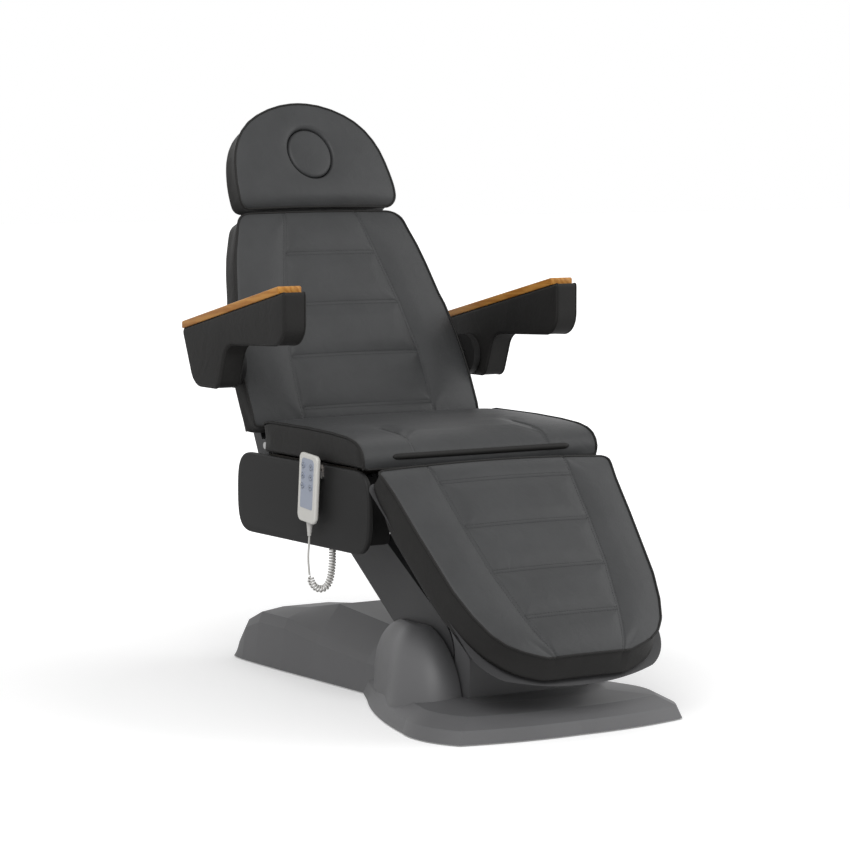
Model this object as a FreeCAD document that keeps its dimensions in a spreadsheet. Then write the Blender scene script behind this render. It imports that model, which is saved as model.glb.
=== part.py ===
"""Electric treatment chair: lifting base, seat, reclining back, leg rest, headrest, swing-up arms, handset.

Frame: +Z up, floor at z = 0, X across the chair with x = 0 in its middle, the sitter faces -Y.
All lengths are millimetres and all angles degrees.
"""
import FreeCAD
import Part
import Sketcher

import math
import os
import re

SIZES = {
    # fits and shared gaps
    "running_gap": 0.05, "part_gap": 0.4, "cut_over": 3, "open_pivot_gap": 7.5,
    # lift linkage: lower pivot, upper pivot relative to it, second arm relative to the first
    "pivot_y": -269, "pivot_z": 142, "lift_run": 365, "lift_rise": 246, "tie_dy": -24, "tie_dz": 34,
    "shaft_r": 9, "shaft_head_r": 13, "shaft_head_t": 4,
    "link_plate_t": 8, "shell_room": 34, "link_step": 18, "seat_plate_x": "=shell_half - shell_room",
    "arm_plate_x": "=seat_plate_x - link_step", "base_plate_x": "=arm_plate_x - link_step",
    "tie_plate_x": "=base_plate_x - link_step",
    "arm_eye_r": 26, "tie_eye_r": 17, "arm_web_y0": 80, "arm_web_y1": 190, "arm_web_t": 20,
    # base frame and what stands on it
    "rail_step": 8, "rail_x": "=base_plate_x + rail_step", "rail_w": 30, "rail_h": 28, "rail_z": 16,
    "rail_front": -538, "rail_rear": 585, "post_w": 20, "post_top": 100, "cover_stay_y": 460,
    "outrigger_half": 222, "outrigger_w": 40, "outrigger_y": -518, "rear_bar_y": 560, "mid_bar_y": -150,
    "plate_front": -320, "plate_rear": -215, "plate_top": 195,
    "foot_r": 20, "foot_h": 10, "foot_stem_r": 6, "foot_x_front": 200, "foot_y_rear": 545,
    "lift_pin_y": -20, "lift_pin_z": 62, "lift_lug_gap": 34, "lift_lug_t": 8, "lift_lug_r": 16, "pin_r": 6,
    "control_w": 110, "control_l": 180, "control_h": 46, "control_y": 300,
    "inlet_w": 48, "inlet_h": 28, "inlet_d": 26, "inlet_z": 46, "inlet_lip": 5,
    # base cover
    "cover_wall": 4, "cover_z": 3, "tail_rear": 636, "tail_set_in": 12,
    "tail_half": "=shell_half - tail_set_in",
    "waist_set_in": 20, "waist_half": "=shell_half - waist_set_in", "waist_y": 49,
    "tail_shoulder": 122, "waist_shoulder": 84, "ridge_rear": 118, "ridge_top": 168, "ridge_y": 262,
    "ridge_front": 150, "ridge_half": 62, "nose_front": -604, "nose_out": 41,
    "nose_half": "=cheek_out + nose_out",
    "nose_y": -466,
    "skirt_crest": 62, "skirt_top": 52, "skirt_rise": 30, "skirt_y": -352, "tail_front": -158,
    "slot_rear": -100,
    "rod_slot_rear": -40, "rod_slot_half": 66,
    "shell_gap": 5, "cheek_in": "=shell_half + shell_gap", "cheek_w": 115, "cheek_out": "=cheek_in + cheek_w",
    "cheek_front": -400, "cheek_rear": -30,
    "cheek_top": 196, "cowl_edge": 14, "cowl_front": -409, "cowl_top": 148, "cowl_low": 45,
    "cowl_half": "=shell_half", "cowl_slope_z": 199, "cowl_slope_y": -331,
    # lift arm cover
    "shell_half": 150, "shell_wall": 3, "shell_low_r": 80, "shell_high_r": 66, "shell_back_r": 44,
    "shell_notch": 140,
    "swing_gap": 5,
    # seat
    "seat_half": 300, "seat_front": -233, "seat_rear_top": 200, "seat_rear_low": 236, "seat_low": 530,
    "seat_top": 600, "seat_crown": 12, "seat_front_drop": 18, "seat_roll": 34,
    "seat_stitch_x": 172, "seat_stitch_len": 120, "channel_r": 5, "channel_depth": 3.5, "side_draw": 4,
    "board_t": 12, "board_inset": 14, "board_front": -185, "seat_bar_h": 12, "rail_set_in": 65,
    "seat_rail_x": "=seat_half - rail_set_in", "seat_rail_w": 30, "seat_rail_h": 40,
    "seat_rail_front": -190, "seat_rail_rear": 236, "carrier_y0": 120, "carrier_y1": 40,
    "carrier_low": 360,
    "panel_t": 14, "panel_top": 528, "panel_low": 350, "panel_front": -251, "panel_rear": 309,
    "panel_end_top": 38, "panel_end_low": 46, "panel_corner": 12, "panel_stay_y": 150, "panel_stay_t": 16,
    "hook_y": -60, "hook_z": 500, "hook_w": 26, "hook_t": 1.4, "hook_reach": 5.6, "hook_lip": 15,
    "hook_plate": 26,
    "gland_r": 9, "gland_h": 18,
    # back
    "back_hinge_y": 256, "back_hinge_z": 540, "back_angle": 63.7, "back_low": 30, "back_top": 546,
    "back_half": 298, "back_half_mid": 272, "back_half_top": 222, "back_mid": 335, "back_corner": 42,
    "back_face": 60, "back_depth": 72, "back_crown": 15, "back_stitch_0": 64, "back_stitch_step": 125,
    "back_stitch_low": 172, "back_stitch_high": 110,
    "back_tube": 30, "tube_set_in": 3, "back_tube_x": "=seat_rail_x - tube_set_in", "back_tube_top": 300,
    "ear_r": 20, "ear_t": 8, "ear_gap": 1,
    "back_lug_y": -37, "back_lug_n": -43, "hinge_pin_r": 8,
    "bracket_gap": 1, "bracket_x": "=seat_half + bracket_gap", "bracket_t": 17, "arm_hub_r": 46,
    "bracket_tab_t": 8,
    "bracket_tab_h": 60, "bracket_tab_low": 10,
    "arm_pivot_y": 305, "arm_pivot_z": 720, "arm_bolt_r": 7, "arm_bolt_head_r": 15,
    # headrest, in the frame of the back
    "head_half": 209, "head_low": 553, "head_top": 809, "head_face": 80, "head_depth": 76, "head_crown": 10,
    "head_wide": 598, "head_side": 700, "head_side_half": 187, "head_high": 772, "head_high_half": 124,
    "head_corner": 24, "plug_y": 682, "plug_half_x": 56, "plug_half_y": 61, "plug_gap": 1, "plug_depth": 52,
    "head_board_t": 10, "head_board_inset": 22, "head_rod_x": 75, "head_rod_r": 7, "head_rod_down": 130,
    "head_rod_n": -40, "head_pivot_y": 600, "head_pivot_n": -14, "head_block": 24, "socket_r": 13,
    "socket_len": 110,
    # arms, profile in the side view at rest
    "arm_gap": 5, "arm_w": 58, "arm_in": "=bracket_x + bracket_t + arm_gap",
    "arm_out": "=arm_in + arm_w", "arm_wood_t": 17, "wood_rear_y": 414, "wood_rear_z": 796,
    "wood_front_y": -20,
    "wood_front_z": 893, "pad_front": -42, "pad_low": 783, "pad_low_rear": 772, "pad_bend_y": 214,
    "lug_low": 672, "lug_front": 250, "lug_rear": 364, "pad_rear": 412, "pad_rear_low": 786,
    "pad_nose_r": 48, "pad_bend_r": 42, "lug_front_r": 24, "lug_rear_r": 46, "pad_edge_r": 5, "core_t": 8,
    # leg rest, in its own frame: along it from the hinge, and out from the hinge plane
    "leg_hinge_y": -206.5, "leg_hinge_z": 518, "leg_angle": 46.6, "leg_high": 34, "leg_foot": 543,
    "leg_set_in": 6, "leg_half_top": "=seat_half - leg_set_in", "leg_half_low": 240, "leg_low": 430,
    "leg_corner_half": 184, "leg_corner": 516,
    "leg_face": 82, "leg_depth": 68, "leg_crown": 15, "leg_flare": 30, "leg_stitch_0": 87.2,
    "leg_stitch_step": 118,
    "leg_stitch_high": 172, "leg_stitch_low": 92, "leg_tray_t": 12, "leg_tray_out": 8, "leg_top_r": 22,
    "leg_tube": 24, "leg_tube_set_in": 45, "leg_tube_x": "=seat_rail_x - leg_tube_set_in",
    "leg_tube_low": 400, "leg_lug_y": -51, "leg_lug_n": -30, "leg_eye_r": 11, "leg_bar_y": -104,
    "leg_web": 30,
    # actuators: seat pins and rods
    "back_pin_y": -118, "back_pin_z": 431, "back_act_x": -46, "leg_pin_y": 40, "leg_pin_z": 486,
    "leg_act_x": 46,
    "act_tube_r": 17, "act_rod_r": 9, "act_motor_r": 26, "act_motor_len": 84, "act_eye_r": 17.5,
    "act_eye_w": 18,
    "lift_lug_at_y": -170, "lift_lug_at_z": 262, "lift_in": 18, "back_in": 60, "leg_in": 4,
    "act_gap": 5,
    # shares: how far the plates' corners lie from their eyes, and how round their ends are
    "eye_side_share": 0.5, "eye_tall_share": 0.85, "eye_wide_share": 0.6, "eye_low_share": 0.8,
    "tie_side_share": 0.7,
    "tie_wide_share": 0.5, "tie_tall_share": 0.9, "lug_round_share": 0.9, "lug_end_share": 0.8,
    "ear_top_share": 0.7,
    "ear_front_share": 0.6, "ear_rise_share": 0.4, "ear_reach_share": 1.4, "lug_weld_share": 0.9,
    "cowl_back_share": 0.2,
    # handset, around its own middle
    "set_y": -48, "set_z": 478, "set_roll": 5, "set_w": 74, "set_h": 148, "set_off": 6.5,
    "set_back_x": "=seat_half + set_off", "set_t": 22,
    "set_split": 11, "set_corner": 13, "set_wall": 2.5, "pad_w": 50, "pad_h": 108, "pad_t": 0.8, "pad_up": 10,
    "key_r": 6.5, "key_gap": 0.3, "key_out": 1.8, "key_deep": 4, "key_dx": 33, "key_dz": 22, "key_up": 48,
    "clip_w": 22, "clip_t": 1.6, "clip_gap": 1.4, "relief_r0": 7.5, "relief_r1": 4, "relief_len": 30,
    "lead_r": 2.2, "curl_r": 6.4, "curl_wire_r": 1.9, "curl_pitch": 5.6,
}

# a point of a cord's route: x from the seat's right side, y along, z up
LEAD_ROUTE = [(-17.5, -38.9, 374.4), (-17.5, -37.0, 352.5), (-16.5, -32.0, 330), (-14.0, -29.0, 308),
              (-12.0, -30.0, 288)]
CURL_ROUTE = [(-11.7, -30.2, 285.6), (-10.5, -36, 271), (-5, -46, 261), (3, -56, 259), (12, -63, 266),
              (19, -65.5, 282),
              (22.5, -66, 304), (24, -66, 330), (24, -66, 372)]

doc = FreeCAD.newDocument("treatment_chair")
sheet = doc.addObject("Spreadsheet::Sheet", "Sizes")
for row, alias in enumerate(SIZES, start=1):
    sheet.set("A%d" % row, alias)
    sheet.setAlias("B%d" % row, alias)
for row, value in enumerate(SIZES.values(), start=1):
    sheet.set("B%d" % row, str(value))
doc.recompute()

# cushions: the seam's depth in the crown, the crown's reach past the sides, a cross seam's depth
SEAM_SHARE = 0.75
BAR_SHARE = 1.2
CROSS_SHARE = 0.85
# the base cover's skirt: how much its plan draws in at each height
SKIRT_SHARES = (1, 0.965, 0.84, 0.55)
# a cheek's plans from the floor up: shares of its height, its width, and its length off in front and behind
CHEEK_SHARES = ((0, 1, 0, 0), (0.295, 0.87, 0.032, 0.022), (0.66, 0.7, 0.114, 0.07),
                (0.89, 0.46, 0.238, 0.19),
                (1, 0.18, 0.373, 0.324))
# how many walls short of a cheek's thin rear end its hollow stops, so that the wall there stays whole
CHEEK_REAR_SHARE = 5
# a cheek's plan from behind to the front: shares of its width and its length
BULGE_SHARES = ((0, 0), (0.25, 0.14), (0.6, 0.42), (1, 0.72), (0.74, 0.93), (0, 1))
# the tail's arch: shares of its half width, its shoulder and its lean
ARCH_SHARES = {"ridge": 0.5, "lean": 0.93, "side": 0.8, "shoulder": 0.92}
# the tail's rounded end: shares of its drop along it, its half width, its shoulder and its drop in height
TAIL_SHARES = ((1, 1, 1, 1.1), (0.45, 0.99, 0.78, 0.86), (0.15, 0.96, 0.4, 0.46))
TAIL_END_SHARES = {"half": 0.93, "shoulder": 0.16, "ridge": 0.2}
# the nose's plan: shares of its half width and of its flare
NOSE_SHARES = {"waist": (0.22, 0.16), "side": (0.985, 0.86), "side_bow": (0.84, 0.55), "corner": (0.9, 0.1),
               "corner_bow": 0.14, "front_bow": (0.5, 0.02)}
# outlines: a round corner's middle, and how far the bowed sides stand out
ROUND_SHARE = 0.29
BACK_SHARES = {"low_bow": 0.3, "high_bow": 0.42}
HEAD_SHARES = {"dome": (0.53, 0.27), "inset": 0.1}
LEG_SHARES = {"foot": (0.53, 0.24), "corner": (0.2, 0.5)}
SEAT_SHARES = {"drop": 0.5, "dip": 0.2}
# the arm cover's heel, an actuator's parts, and how much of a run a cord's bend takes
HEEL_SHARE = 1.3
ACT_SHARES = {"tube": 0.5, "motor": 0.62, "gear": 0.6, "rise": 1.05}
TRIM_SHARE = 0.45

AXIS_X = FreeCAD.Vector(1, 0, 0)
AXIS_Y = FreeCAD.Vector(0, 1, 0)
AXIS_Z = FreeCAD.Vector(0, 0, 1)
NODES = {}


def size(alias):
    """The number that a cell of the sheet holds."""
    return float(sheet.get(alias))


def bound(text):
    """An expression with each size's name turned into its cell."""
    return re.sub(r"[a-z][a-z_0-9]*", lambda m: "Sizes." + m.group() if m.group() in SIZES else m.group(),
                  text)


def bind(thing, **places):
    """Bind properties to expressions; two underscores stand for a dot."""
    for place, text in places.items():
        thing.setExpression(place.replace("__", "."), bound(text))


def place(thing, x="0", y="0", z="0"):
    bind(thing, Placement__Base__x=x, Placement__Base__y=y, Placement__Base__z=z)
    return thing


def node(label, thing):
    """Name an object as a sub-part; its label is its file's name."""
    thing.Label = label
    NODES[label] = thing
    return thing


def box(name, size_x, size_y, size_z, x, y, z):
    thing = doc.addObject("Part::Box", name)
    bind(thing, Length=size_x, Width=size_y, Height=size_z)
    return place(thing, x, y, z)


def rod(name, axis, radius, length, x, y, z):
    """A cylinder from a start point along X, Y or Z."""
    turns = {"x": FreeCAD.Rotation(AXIS_Y, 90), "y": FreeCAD.Rotation(AXIS_X, -90), "z": FreeCAD.Rotation()}
    thing = doc.addObject("Part::Cylinder", name)
    thing.Placement = FreeCAD.Placement(FreeCAD.Vector(), turns[axis])
    bind(thing, Radius=radius, Height=length)
    return place(thing, x, y, z)


def across(name, radius, half, y, z):
    """A cylinder along X, from -half to +half."""
    return rod(name, "x", radius, "2 * (%s)" % half, "-(%s)" % half, y, z)


def fuse(name, things):
    thing = doc.addObject("Part::MultiFuse", name)
    thing.Shapes = things
    return thing


def group(name, things):
    thing = doc.addObject("Part::Compound", name)
    thing.Links = things
    return thing


def cut(name, base, tools):
    thing = doc.addObject("Part::Cut", name)
    thing.Base = base
    thing.Tool = tools[0] if len(tools) == 1 else fuse(name + "Tools", tools)
    return thing


def mirrored(name, thing):
    copy = doc.addObject("Part::Mirroring", name)
    copy.Source = thing
    copy.Normal = AXIS_X
    return copy


def plate(name, points, depth, x="0", rounds=None):
    """A body padded along X about x from a closed outline in Y and Z, with some of its corners rounded."""
    body = doc.addObject("PartDesign::Body", name)
    sketch = body.newObject("Sketcher::SketchObject", name + "Outline")
    side = [part for part in body.Origin.OriginFeatures if part.Role == "YZ_Plane"][0]
    sketch.AttachmentSupport = [(side, "")]
    sketch.MapMode = "FlatFace"
    count = len(points)
    start = [FreeCAD.Vector(math.cos(math.tau * i / count),
                            math.sin(math.tau * i / count)) for i in range(count)]
    for i in range(count):
        sketch.addGeometry(Part.LineSegment(start[i], start[(i + 1) % count]), False)
    for i in range(count):
        sketch.addConstraint(Sketcher.Constraint("Coincident", i, 2, (i + 1) % count, 1))
    for i, (along, up) in enumerate(points):
        for kind, text, now in (("DistanceX", along, start[i].x), ("DistanceY", up, start[i].y)):
            at = sketch.addConstraint(Sketcher.Constraint(kind, -1, 1, i, 1, now))
            sketch.setExpression("Constraints[%d]" % at, bound(text))
    pad = body.newObject("PartDesign::Pad", name + "Pad")
    pad.Profile = sketch
    pad.Midplane = True
    bind(pad, Length=depth)
    place(body, x)
    doc.recompute()
    corners = [sketch.Geometry[i].StartPoint for i in range(count)]
    for turn, (radius, picks) in enumerate((rounds or {}).items()):
        last = body.Tip
        edges = [corner_edge(last.Shape, corners[i]) for i in picks]
        fillet = body.newObject("PartDesign::Fillet", "%sRound%d" % (name, turn))
        fillet.Base = (last, edges)
        bind(fillet, Radius=radius)
        doc.recompute()
    return body


def corner_edge(shape, corner):
    """The name of the edge along X that passes through a corner of the outline."""
    near = 1e-4
    for count, edge in enumerate(shape.Edges, start=1):
        ends = [vertex.Point for vertex in edge.Vertexes]
        if all(math.hypot(end.y - corner.x, end.z - corner.y) < near for end in ends):
            return "Edge%d" % count
    raise ValueError("no edge at %s" % corner)


def solid(name, shape):
    """A form that the sketches and primitives don't give."""
    thing = doc.addObject("Part::Feature", name)
    thing.Shape = shape
    return thing


def vec(x, y, z=0.0):
    return FreeCAD.Vector(x, y, z)


def half_outline(points):
    """Edges from a right-hand half: (x, y) joins by a line, (x, y, via x, via y) by an arc; then mirrored."""
    edges = []
    for before, after in zip(points, points[1:]):
        if len(after) == 2:
            edges.append((before[:2], None, after))
        else:
            edges.append((before[:2], after[2:], after[:2]))
    flip = [((-b[0], b[1]), v and (-v[0], v[1]), (-a[0], a[1])) for a, v, b in reversed(edges)]
    return edges + flip


def outline_wire(edges, height, scale_x=1.0, middle_y=0.0, scale_y=1.0):
    """A closed wire of an outline at a height, drawn in by two scales."""
    def at(point):
        return vec(point[0] * scale_x, middle_y + (point[1] - middle_y) * scale_y, height)
    made = []
    for a, via, b in edges:
        if a == b:
            continue
        if via is None:
            made.append(Part.makeLine(at(a), at(b)))
        else:
            made.append(Part.Arc(at(a), at(via), at(b)).toShape())
    if made[0].Vertexes[0].Point.distanceToPoint(made[-1].Vertexes[-1].Point) > 1e-6:
        made.append(Part.makeLine(made[-1].Vertexes[-1].Point, made[0].Vertexes[0].Point))
    return Part.Wire(made)


def crown_bar(half, face, crown, low, far_low, far_high):
    """A long bar whose top is an arc: as high as the face in the middle, lower by the crown at the sides."""
    wide = half * BAR_SHARE
    top = face - crown * BAR_SHARE ** 2
    arc = Part.Arc(vec(-wide, far_low, top), vec(0, far_low, face), vec(wide, far_low, top)).toShape()
    sides = [vec(wide, far_low, top), vec(wide, far_low, low), vec(-wide, far_low, low),
             vec(-wide, far_low, top)]
    lines = [Part.makeLine(a, b) for a, b in zip(sides, sides[1:])]
    return Part.Face(Part.Wire([arc] + lines)).extrude(vec(0, far_high - far_low, 0))


def cushion(edges, low, face, crown, draw, half, middle_y, reach, flare=1.0):
    """A boxed cushion: drawn-in band between two seams, crowned face. Flare lengthens its lower edge."""
    seam = face - crown * SEAM_SHARE
    waist = 1 - draw / half
    wires = [outline_wire(edges, low, waist, middle_y, waist * flare),
             outline_wire(edges, (low + seam) / 2, waist * waist, middle_y, waist * waist * (1 + flare) / 2),
             outline_wire(edges, seam, 1, middle_y, 1)]
    side = Part.makeLoft(wires, True, True)
    cap = Part.makeLoft([outline_wire(edges, seam, 1, middle_y, 1),
                         outline_wire(edges, face + crown, waist * waist * waist, middle_y,
                                      waist * waist * waist)],
                        True, True)
    return side.fuse(cap).common(crown_bar(half, face, crown, low - crown, *reach)).removeSplitter()


def sunk_bar(path, start, way, radius):
    """A thin round bar along a path, with mitred corners."""
    ring = Part.Wire([Part.Circle(start, way, radius).toShape()])
    return path.makePipeShell([ring], True, False, 1)


def sewn_line(places, face_at, radius, depth):
    """A sewn channel along a face: a thin bar sunk in it through (x, y) places."""
    spots = [vec(x, y, face_at(x) + radius - depth) for x, y in places]
    return sunk_bar(Part.makePolygon(spots), spots[0], spots[1] - spots[0], radius)


def sewn_bow(reach, y, face_at, radius, depth):
    """A sewn channel across a crowned face, a little less deep than the ones along it."""
    depth = depth * CROSS_SHARE
    spots = [vec(x, y, face_at(x) + radius - depth) for x in (-reach, 0, reach)]
    arc = Part.Arc(*spots).toShape()
    return sunk_bar(Part.Wire([arc]), spots[0], arc.tangentAt(arc.FirstParameter), radius)


def crown_at(face, crown, half):
    """The height of a crowned face at a distance from its middle."""
    return lambda x: face - crown * (x / half) ** 2


# Base: welded frame, feet, lower shafts, control box, inlet
PAIR = ("%s", "-(%s)")


def pair_of_boxes(name, x, size_x, size_y, size_z, y, z):
    """Two equal boxes, one each side, whose middles are at +x and -x."""
    return [box("%s%d" % (name, i), size_x, size_y, size_z, "%s - (%s) / 2" % (side % x, size_x), y, z)
            for i, side in enumerate(PAIR)]


def pair_of_plates(name, points, x, depth, rounds=None):
    return [plate("%s%d" % (name, i), points, depth, side % x, rounds) for i, side in enumerate(PAIR)]


UPPER_Y, UPPER_Z = "(pivot_y + lift_run)", "(pivot_z + lift_rise)"
TIE_Y, TIE_Z = "(pivot_y + tie_dy)", "(pivot_z + tie_dz)"
TIE_UP_Y, TIE_UP_Z = "(%s + tie_dy)" % UPPER_Y, "(%s + tie_dz)" % UPPER_Z


def make_base():
    rails = pair_of_boxes("BaseRail", "rail_x", "rail_w", "rail_rear - rail_front", "rail_h", "rail_front",
                          "rail_z")
    bars = [box("BaseBarFront", "2 * outrigger_half", "outrigger_w", "rail_h", "-outrigger_half",
                "outrigger_y - outrigger_w / 2", "rail_z")]
    for name, half, y in (("BaseBarRear", "rail_x", "rear_bar_y"), ("BaseBarMid", "cheek_in", "mid_bar_y"),
                          ("BaseBarLift", "rail_x", "lift_pin_y"), ("ControlStay", "rail_x", "control_y")):
        bars.append(box(name, "2 * " + half, "rail_w", "rail_h", "-" + half, "%s - rail_w / 2" % y, "rail_z"))
    # the cover sits between two posts in front and on a bar behind that is as wide as its inside
    bars += pair_of_boxes("CoverPost", "(cheek_in - post_w / 2)", "post_w", "rail_w", "post_top - rail_z",
                          "mid_bar_y - rail_w / 2", "rail_z")
    wide = size("tail_half")
    stay = Part.makeBox(2 * wide, size("rail_w"), size("rail_h"),
                        vec(-wide, size("cover_stay_y"), size("rail_z")))
    bars.append(solid("CoverStay", stay.common(tail_solid(size("cover_wall")))))
    uprights = pair_of_plates("BaseUpright", [("plate_front", "rail_z"), ("plate_rear", "rail_z"),
                                              ("plate_rear", "(pivot_z + shaft_head_r)"),
                                              ("%s + arm_eye_r" % TIE_Y, "plate_top"),
                                              ("plate_front", "plate_top")],
                              "base_plate_x", "link_plate_t", {"arm_eye_r / 2": [2, 3, 4]})
    lugs = pair_of_plates("LiftLug", [("lift_pin_y - lift_lug_r", "rail_z"),
                                      ("lift_pin_y + lift_lug_r", "rail_z"),
                                      ("lift_pin_y + lift_lug_r", "lift_pin_z + lift_lug_r"),
                                      ("lift_pin_y - lift_lug_r", "lift_pin_z + lift_lug_r")],
                          "(lift_lug_gap + lift_lug_t) / 2", "lift_lug_t",
                          {"lift_lug_r * lug_round_share": [2, 3]})
    holes = [across("BaseHoleLow", "shaft_r", "arm_plate_x", "pivot_y", "pivot_z"),
             across("BaseHoleTie", "shaft_r", "arm_plate_x", TIE_Y, TIE_Z)]
    lift_pin = across("LiftPinLow", "pin_r", "lift_lug_gap / 2 + lift_lug_t + part_gap", "lift_pin_y",
                      "lift_pin_z")
    welded = fuse("BaseWelded", rails + bars + uprights + lugs + [lift_pin])
    node("base_frame", cut("BaseFrame", welded, holes))
    shafts = []
    for name, y, z in (("Low", "pivot_y", "pivot_z"), ("Tie", TIE_Y, TIE_Z)):
        half = "(arm_plate_x + link_plate_t / 2 + part_gap)"
        bar = across("LowerShaft" + name, "shaft_r", half, y, z)
        heads = [rod("LowerHead%s%d" % (name, i), "x", "shaft_head_r", "shaft_head_t", x, y, z)
                 for i, x in enumerate((half, "-%s - shaft_head_t" % half))]
        shafts.append(fuse("LowerShaftWhole" + name, [bar] + heads))
    node("lower_pivot_shafts", group("LowerShafts", shafts))
    feet = []
    spots = [("foot_x_front", "outrigger_y"), ("-foot_x_front", "outrigger_y"),
             ("rail_x", "foot_y_rear"), ("-rail_x", "foot_y_rear")]
    for i, (x, y) in enumerate(spots):
        pad = rod("FootPad%d" % i, "z", "foot_r", "foot_h", x, y, "0")
        stem = rod("FootStem%d" % i, "z", "foot_stem_r", "rail_z - foot_h", x, y, "foot_h")
        feet.append(fuse("Foot%d" % i, [pad, stem]))
    node("levelling_feet", group("Feet", feet))
    node("control_box", box("ControlBox", "control_w", "control_l", "control_h", "-control_w / 2",
                            "control_y - control_l / 2", "rail_z + rail_h"))


def tail_section(y, half, shoulder, ridge, inset):
    """An arch across the tail: upright side, sloping shoulder, ridge. Inset gives the inner face."""
    low = size("cover_z") - (size("cut_over") if inset else 0)
    half = half - inset
    shoulder = shoulder - inset
    ridge = ridge - inset
    ridge_half = min(size("ridge_half"), half * ARCH_SHARES["ridge"])
    lean = half * ARCH_SHARES["lean"]
    right = [(half, low), (lean, shoulder * ARCH_SHARES["side"]), (lean * ARCH_SHARES["shoulder"], shoulder),
             (ridge_half, ridge)]
    points = right + [(-x, z) for x, z in reversed(right)]
    corners = [vec(x, y, z) for x, z in points]
    return Part.makePolygon(corners + corners[:1])


def tail_solid(inset):
    """The low rear half of the cover as a loft from the waist to the rounded rear end."""
    rear = size("tail_rear") - inset
    drop = size("ridge_rear")
    half = size("tail_half")
    waist = size("waist_half")
    shoulder = size("tail_shoulder")
    low_shoulder = size("waist_shoulder")
    ridge_y = size("ridge_y")
    front = size("tail_front")
    rows = [(front, waist, low_shoulder, size("ridge_front")),
            (size("waist_y"), waist, low_shoulder, size("ridge_front")),
            (ridge_y, (waist + half) / 2, (low_shoulder + shoulder) / 2, size("ridge_top")),
            (rear - drop * 2, half, shoulder, (size("ridge_top") + drop) / 2)]
    rows += [(rear - drop * back, half * wide, shoulder * side, drop * ridge) for back, wide, side,
             ridge in TAIL_SHARES]
    rows.append((rear, half * TAIL_END_SHARES["half"], drop * TAIL_END_SHARES["shoulder"],
                 drop * TAIL_END_SHARES["ridge"]))
    return Part.makeLoft([tail_section(*row, inset) for row in rows], True, True)


def nose_edges(inset):
    """The plan of the flared front half: waist, flare, widest, rounded corner, front edge."""
    half = size("nose_half") - inset
    waist = size("waist_half") - inset
    front = size("nose_front") + inset
    widest = size("nose_y")
    rear = size("waist_y")
    flare = rear - widest
    (out, along), (wide, far) = NOSE_SHARES["waist"], NOSE_SHARES["side"]
    (bow, bow_far), (corner, corner_up) = NOSE_SHARES["side_bow"], NOSE_SHARES["corner"]
    front_bow, front_up = NOSE_SHARES["front_bow"]
    return half_outline([(0, rear), (waist, rear), (waist + (half - waist) * out, rear - flare * along),
                         (half * wide, rear - flare * far, half * bow, rear - flare * bow_far),
                         (half * corner, front + half * corner_up, half,
                          widest - half * NOSE_SHARES["corner_bow"]),
                         (0, front, half * front_bow, front + half * front_up)])


def nose_solid(inset):
    """The front skirt: a low flared dish that draws in towards its top."""
    low = size("cover_z") - (size("cut_over") if inset else 0)
    top = size("skirt_top") - inset
    rise = size("skirt_rise") - inset
    middle = size("skirt_y")
    edges = nose_edges(inset)
    heights = (low, rise, top, size("skirt_crest") - inset)
    wires = [outline_wire(edges, z, share, middle, share) for z, share in zip(heights, SKIRT_SHARES)]
    return Part.makeLoft(wires, True, True)


def cheek_solid(inset):
    """The two rounded housings that stand each side of the lift arm: bulged plans that draw in upwards."""
    inner, outer = size("cheek_in") + inset, size("cheek_out") - inset
    front, rear = size("cheek_front") + inset, size("cheek_rear") - inset * CHEEK_REAR_SHARE
    low = size("cover_z") - (size("cut_over") if inset else 0)
    top = size("cheek_top") - inset
    wires = []
    for high_share, wide_share, front_share, rear_share in CHEEK_SHARES:
        z = low + (top - low) * high_share
        start, end = rear - (rear - front) * rear_share, front + (rear - front) * front_share
        wide = (outer - inner) * wide_share
        bulge = Part.BSplineCurve()
        bulge.interpolate([vec(inner + wide * across_share, start + (end - start) * along_share, z)
                           for across_share, along_share in BULGE_SHARES])
        wires.append(Part.Wire([bulge.toShape(), Part.makeLine(vec(inner, end, z), vec(inner, start, z))]))
    right = Part.makeLoft(wires, True, False)
    return right.fuse(right.mirror(vec(0, 0), AXIS_X))


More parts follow.
